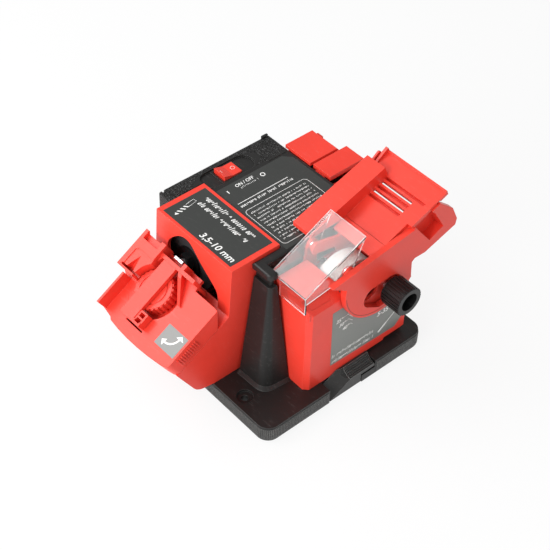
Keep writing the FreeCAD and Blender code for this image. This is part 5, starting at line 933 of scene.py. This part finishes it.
shank = [on_drill(*p) for p in ((13.6, -1.6), (21.6, -1.6), (21.6, 1.6), (13.6, 1.6))]
draw("drill_shank_sign", [shank], 0.4, drill_face, "base")
flutes = [
    [
        on_drill(f, -1.7), on_drill(f + 1.3, -1.7), on_drill(f + 3.3, 1.7), on_drill(f + 2.0, 1.7),
    ] for f in (3.6, 7.0, 10.4)
]
tip = [on_drill(0.0, 0.0), on_drill(2.0, -1.6), on_drill(3.2, 1.6)]
filled("drill_flute_signs", [*flutes, tip], drill_face, "base")
small_print(
    "drill_row_1", (-105.0, 52.4), 53.0, 1, 2.0, 27, 3.1, drill_face, "base", 14, gaps=0.14, lean=0.25,
    weight=0.22,
)
small_print(
    "drill_row_2", (-104.5, 45.2), 52.0, 1, 2.0, 27, 3.1, drill_face, "base", 37, gaps=0.14, lean=0.25,
    weight=0.22,
)
letter("drill_sizes", "3,5-10 mm", (-86.4, 25.4), 5.6, drill_face, "base", slant=0.12, stretch=1.08)

# %% [markdown]
# The chisel sheet carries the three edge angles with their leader lines, the widths that fit, a
# chisel drawn as a tapered stroke, and two rows of print along its lower edge.

# %% Print on the chisel sheet
for words, a, b in (("25°", 76.9, 70.3), ("30°", 80.0, 64.6), ("40°", 83.8, 59.0)):
    letter(f"angle_{words[:2]}", words, (a, b), 3.3, chisel_face, "base", slant=0.2)
fan = [
    [(80.3, 71.3), (84.6, 72.2), (90.2, 66.0)], [(83.2, 65.8), (86.4, 66.4), (90.4, 62.4)],
    [(86.9, 60.2), (88.6, 60.4), (90.6, 58.6)],
]
draw("angle_leaders", fan, 0.3, chisel_face, "base")
draw(
    "angle_hatch", [[(84.6 + i, 72.2 - 1.1 * i), (86.0 + i, 73.0 - 1.1 * i)] for i in range(6)], 0.3,
    chisel_face, "base",
)
letter("chisel_sizes", "5-35 mm", (128.0, 50.0), 4.6, chisel_face, "base", slant=0.2)
draw("chisel_blade_sign", [[(119.6, 29.0), (127.6, 35.0)]], 1.9, chisel_face, "base")
draw("chisel_shank_sign", [[(127.4, 34.9), (136.4, 41.7)]], 0.8, chisel_face, "base")
small_print(
    "chisel_row_1", (92.8, 34.4), 41.0, 1, 2.0, 26, 2.2, chisel_face, "base", 16, gaps=0.14, lean=0.25,
    weight=0.23,
)
small_print(
    "chisel_row_2", (93.2, 28.4), 41.0, 1, 2.0, 27, 2.1, chisel_face, "base", 23, gaps=0.14, lean=0.25,
    weight=0.23,
)

# %% [markdown]
# The sticker on the drill head has one sign, a curved arrow with a point at each end: the holder
# is swung both ways while it grinds. Its shaft is a stroke along an arc; the points are filled.

# %% The swing sign
ARC_MIDDLE, ARC_R = (-13.5, 77.3), 9.0
arc = []
for k in range(15):
    t = math.radians(-184 + 92 * k / 14)
    arc.append((ARC_MIDDLE[0] + ARC_R * math.cos(t), ARC_MIDDLE[1] + ARC_R * math.sin(t)))
draw("swing_arc", [arc], 1.5, arrow_face, "head")
filled(
    "swing_points",
    [[(-22.0, 80.6), (-25.6, 77.6), (-19.6, 76.9)], [(-11.4, 68.2), (-14.4, 64.4), (-14.6, 71.8)]],
    arrow_face, "head",
)

# %% [markdown]
# The red rocker has a ring moulded on one half and a bar on the other. They are placed by looking
# straight down on the CAD part: a ray finds the height and the tilt of the face at each mark, so
# the signs sit on the sloping faces and rock with them.

# %% Signs on the rocker
rocker_part = frame["nodes"]["switch_rocker"]
rocker_tree = BVHTree.FromPolygons(
    [v.co for v in rocker_part.data.vertices], [tuple(p.vertices) for p in rocker_part.data.polygons]
)


def on_rocker(x, y):
    """The frame of the rocker's upper face under a point of the drawing."""
    place, normal, _, _ = rocker_tree.ray_cast(at(x, y, 200), Vector((0, 0, -1)))
    if normal.z < 0:
        normal = -normal
    across = Vector((0, 1, 0)).cross(normal)
    origin = [c / MM + d for c, d in zip(place, DRAWING_ORIGIN)]
    return face_frame(across, normal.cross(across), origin)


ring_ink = plastic("rocker_ink", (0.95, 0.45, 0.4), (1, 0.7, 0.66), 0.35, radius_mm=0.1)
draw("rocker_ring", [ring_path(0, 0, 1.7, 20)], 0.55, on_rocker(91.0, 148.6), "rocker", ink=ring_ink)
draw("rocker_bar", [[(0, -1.5), (0, 1.5)]], 0.6, on_rocker(80.0, 148.6), "rocker", ink=ring_ink)

# %% [markdown]
# Light catches the guard's cut edges, so they show as pale lines in the clear plastic. A thin bead
# of pale plastic along each visible edge paints that highlight. The tree sweeps a small round
# section along the edge's path, which starts at the front foot, follows the roof's rim and ends at
# the hinge.

# %% Painted highlights along the guard's rims
def bead_tree():
    tree, given, result = start_group(
        "bead_on_path", "GeometryNodeTree",
        [
            ("Geometry", "Geometry", None), ("Bead Radius", "Float", 0.3),
            ("Sides", "Int", 8), ("Finish", "Material", None),
        ],
        [("Geometry", "Geometry")],
    )
    path = add(tree, "GeometryNodeMeshToCurve", {"Mesh": given["Geometry"]})
    section = add(
        tree, "GeometryNodeCurvePrimitiveCircle",
        {"Resolution": given["Sides"], "Radius": given["Bead Radius"]},
    )
    swept = add(tree, "GeometryNodeCurveToMesh", {"Curve": path, "Profile Curve": section, "Fill Caps": True})
    return end_tree(tree, given, result, swept)


def place_path(points):
    mesh = bpy.data.meshes.new("edge")
    mesh.from_pydata([at(*p) for p in points], [(i, i + 1) for i in range(len(points) - 1)], [])
    return mesh


SHIELD_X0, SHIELD_X1, SHIELD_Z0, SHIELD_RISE = 44.4, 99.5, 110.6, math.radians(26.5)
SHIELD_Y = (13.6, 49.8)
shield_top = SHIELD_Z0 + (SHIELD_X1 - SHIELD_X0) * math.tan(SHIELD_RISE)
bead = bead_tree()
rims = {
    "guard_rim_front": [(SHIELD_X0, SHIELD_Y[0], SHIELD_Z0), (SHIELD_X0, SHIELD_Y[1], SHIELD_Z0)],
    "guard_rim_near": [(SHIELD_X0, SHIELD_Y[0], SHIELD_Z0), (SHIELD_X1, SHIELD_Y[0], shield_top)],
    "guard_rim_far": [(SHIELD_X0, SHIELD_Y[1], SHIELD_Z0), (SHIELD_X1, SHIELD_Y[1], shield_top)],
    "guard_rim_top": [(SHIELD_X1, SHIELD_Y[0], shield_top), (SHIELD_X1, SHIELD_Y[1], shield_top)],
    "guard_rim_corner": [(SHIELD_X0, SHIELD_Y[0], SHIELD_Z0 - 15.0), (SHIELD_X0, SHIELD_Y[0], SHIELD_Z0)],
}
# Painted highlight: a pale bead along each rim, where the clear edge catches the light.
for title, points in rims.items():
    grow(title, bead, "shield", rim_highlight_paint, base=place_path(points), Bead_Radius=0.17 * MM, Sides=8)

# %% [markdown]
# Two fine lines finish the front: a dark red line of painted shade in the seam that follows the round
# edge of the tilting cheek, and a pale line of painted highlight on the ring where the guard turns on
# its hinge. Behind the cheek's slot the white wheel's flank shows through the housing's window; a
# grinding wheel has a dark paper blotter there, and the dark ring drawn for it also paints the shade
# behind the slot.

# %% Painted shade and highlights on the cheek, the wheel and the hinge
SEAM_MIDDLE, SEAM_R = (112.05, 100.1), 35.7
HINGE_MIDDLE, HINGE_RING_R = (84.0, 113.0), 5.4
AXLE_MIDDLE, BLOTTER_SHADE_R, BLOTTER_SHADE_W = (95.6, 83.5), 17.6, 9.6
# Painted shade: a dark red stroke stands for the shadow in the cheek's seam.
seam_shade_ink = plastic("seam_shadow", (0.22, 0.012, 0.008), (0.3, 0.02, 0.015), 0.5, radius_mm=0.1)
cheek_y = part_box("ramp_frame")[0].y / MM + DRAWING_ORIGIN[1]
cheek_face = face_frame((1, 0, 0), (0, 0, 1), (0, cheek_y, 0))
seam = []
for k in range(25):
    t = math.radians(186 + 106 * k / 24)
    seam.append((SEAM_MIDDLE[0] + SEAM_R * math.cos(t), SEAM_MIDDLE[1] + SEAM_R * math.sin(t)))
draw("cheek_seam_shade", [seam], 0.42, cheek_face, "ramp", ink=seam_shade_ink)
hinge_face = face_frame((1, 0, 0), (0, 0, 1), (0, SHIELD_Y[0], 0))
wheel_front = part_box("chisel_wheel")[0].y / MM + DRAWING_ORIGIN[1]
wheel_face = face_frame((1, 0, 0), (0, 0, 1), (0, wheel_front, 0))
# A paper blotter, drawn dark so that it is also painted shade in the window behind the slot.
draw("wheel_blotter_shade", [ring_path(*AXLE_MIDDLE, BLOTTER_SHADE_R, 48)], BLOTTER_SHADE_W, wheel_face, "rotor", ink=carbon)
# Painted highlight: a pale ring where the guard's hinge catches the light.
draw("guard_hinge_ring_highlight", [ring_path(*HINGE_MIDDLE, HINGE_RING_R)], 0.35, hinge_face, "shield", ink=rim_highlight_paint)

# %% [markdown]
# Under the release lever a small coil is pressed shorter when the lever goes down. A copy of the
# CAD coil, with a mesh of its own, stands in for it on the base, and the CAD part is hidden.

# %% The lever's spring
coil = settle("spring_coil", frame["nodes"]["lever_spring"].data.copy(), "base")
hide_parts("lever_spring")
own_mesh(coil)

# %% [markdown]
# The platform's slanted front edge is closed beside the wheel by a thin red skin. It fills the gap
# that the wheel's room leaves in the housing's edge, and lies just proud of the slant.

# %% The skin of the platform's slant
SLANT_LOW, SLANT_HIGH = (10.7, 92.0), (19.0, 104.0)
SKIN_X, SKIN_THICK, SKIN_PROUD = (69.0, 77.9), 0.5, 0.05
slant = Vector(SLANT_HIGH) - Vector(SLANT_LOW)
inward = Vector((slant.y, -slant.x)).normalized() * (SKIN_THICK / 2 - SKIN_PROUD)
skin_face = face_frame((0, *slant), (1, 0, 0), (0, *(Vector(SLANT_LOW) + inward)))
skin = [(0.3, SKIN_X[0]), (slant.length - 0.1, SKIN_X[0]), (slant.length - 0.1, SKIN_X[1]), (0.3, SKIN_X[1])]
filled("platform_skin", [skin], skin_face, "base", ink=red_plastic, height=SKIN_THICK)

# %% [markdown]
# The studio is a pale floor under soft light. A large lamp above and behind on the left gives the
# sloping head its sheen, one from the left lights the faces we see, a weak one from the front lifts
# the darkest of them, and the sky fills the rest. White behind the object comes from what the
# camera sees of floor and sky, not from more light, so the floor can keep the object's shadow.

# %% Floor, sky and lamps
def studio_floor():
    made, tree, shader = start_material("studio_floor")
    seen = add(tree, "ShaderNodeTexCoord")
    cloud = add(tree, "ShaderNodeTexNoise", {"Vector": seen.outputs["Object"], "Scale": 6.0})
    pale = add(tree, "ShaderNodeMapRange", {0: cloud.outputs["Fac"], 1: 0.0, 2: 1.0, 3: 0.8, 4: 0.84})
    tree.links.new(pale.outputs[0], shader.inputs["Base Color"])
    shader.inputs["Roughness"].default_value = 0.9
    glow = add(tree, "ShaderNodeEmission", {"Color": (1, 1, 1, 1), "Strength": 1.0})
    rays = add(tree, "ShaderNodeLightPath")
    straight = calc(tree, "MAXIMUM", rays.outputs["Is Camera Ray"], rays.outputs["Is Glossy Ray"])
    through = calc(tree, "MAXIMUM", straight, rays.outputs["Is Transmission Ray"])
    share = calc(tree, "MULTIPLY", through, 0.86)
    both = add(tree, "ShaderNodeMixShader", {0: share, 1: shader, 2: glow})
    tree.links.new(both.outputs[0], tree.nodes["Material Output"].inputs[0])
    return made


floor_mesh = bpy.data.meshes.new("floor")
floor_mesh.from_pydata([(-6, -6, 0), (6, -6, 0), (6, 6, 0), (-6, 6, 0)], [], [(0, 1, 2, 3)])
floor_mesh.materials.append(studio_floor())
floor = bpy.data.objects.new("floor", floor_mesh)
bpy.context.scene.collection.objects.link(floor)

world = bpy.data.worlds.new("studio")
world.use_nodes = True
bpy.context.scene.world = world
sky = world.node_tree.nodes["Background"]
rays = add(world.node_tree, "ShaderNodeLightPath")
straight = calc(
    world.node_tree, "MAXIMUM", rays.outputs["Is Camera Ray"], rays.outputs["Is Transmission Ray"],
)
level_in = add(world.node_tree, "ShaderNodeMapRange", {0: straight, 1: 0.0, 2: 1.0, 3: 0.46, 4: 1.0})
world.node_tree.links.new(level_in.outputs[0], sky.inputs["Strength"])
sky.inputs["Color"].default_value = (1, 1, 1, 1)


def lamp(name, place, size, watts, target=(0.01, 0.0, 0.06)):
    data = bpy.data.lights.new(name, "AREA")
    data.shape = "RECTANGLE"
    data.size, data.size_y = size
    data.energy = watts
    made = bpy.data.objects.new(name, data)
    made.location = place
    made.rotation_euler = (Vector(target) - Vector(place)).to_track_quat("-Z", "Y").to_euler()
    bpy.context.scene.collection.objects.link(made)


LAMPS = (
    ("lamp_sheen", (-0.55, 0.75, 1.05), (1.1, 0.8), 12.0),
    ("lamp_left", (-1.15, -0.2, 0.7), (0.8, 0.7), 13.0),
    ("lamp_front", (0.15, -1.1, 0.9), (0.8, 0.6), 1.6),
)
for lamp_facts in LAMPS:
    lamp(*lamp_facts)
bpy.context.scene.view_settings.view_transform = "Standard"
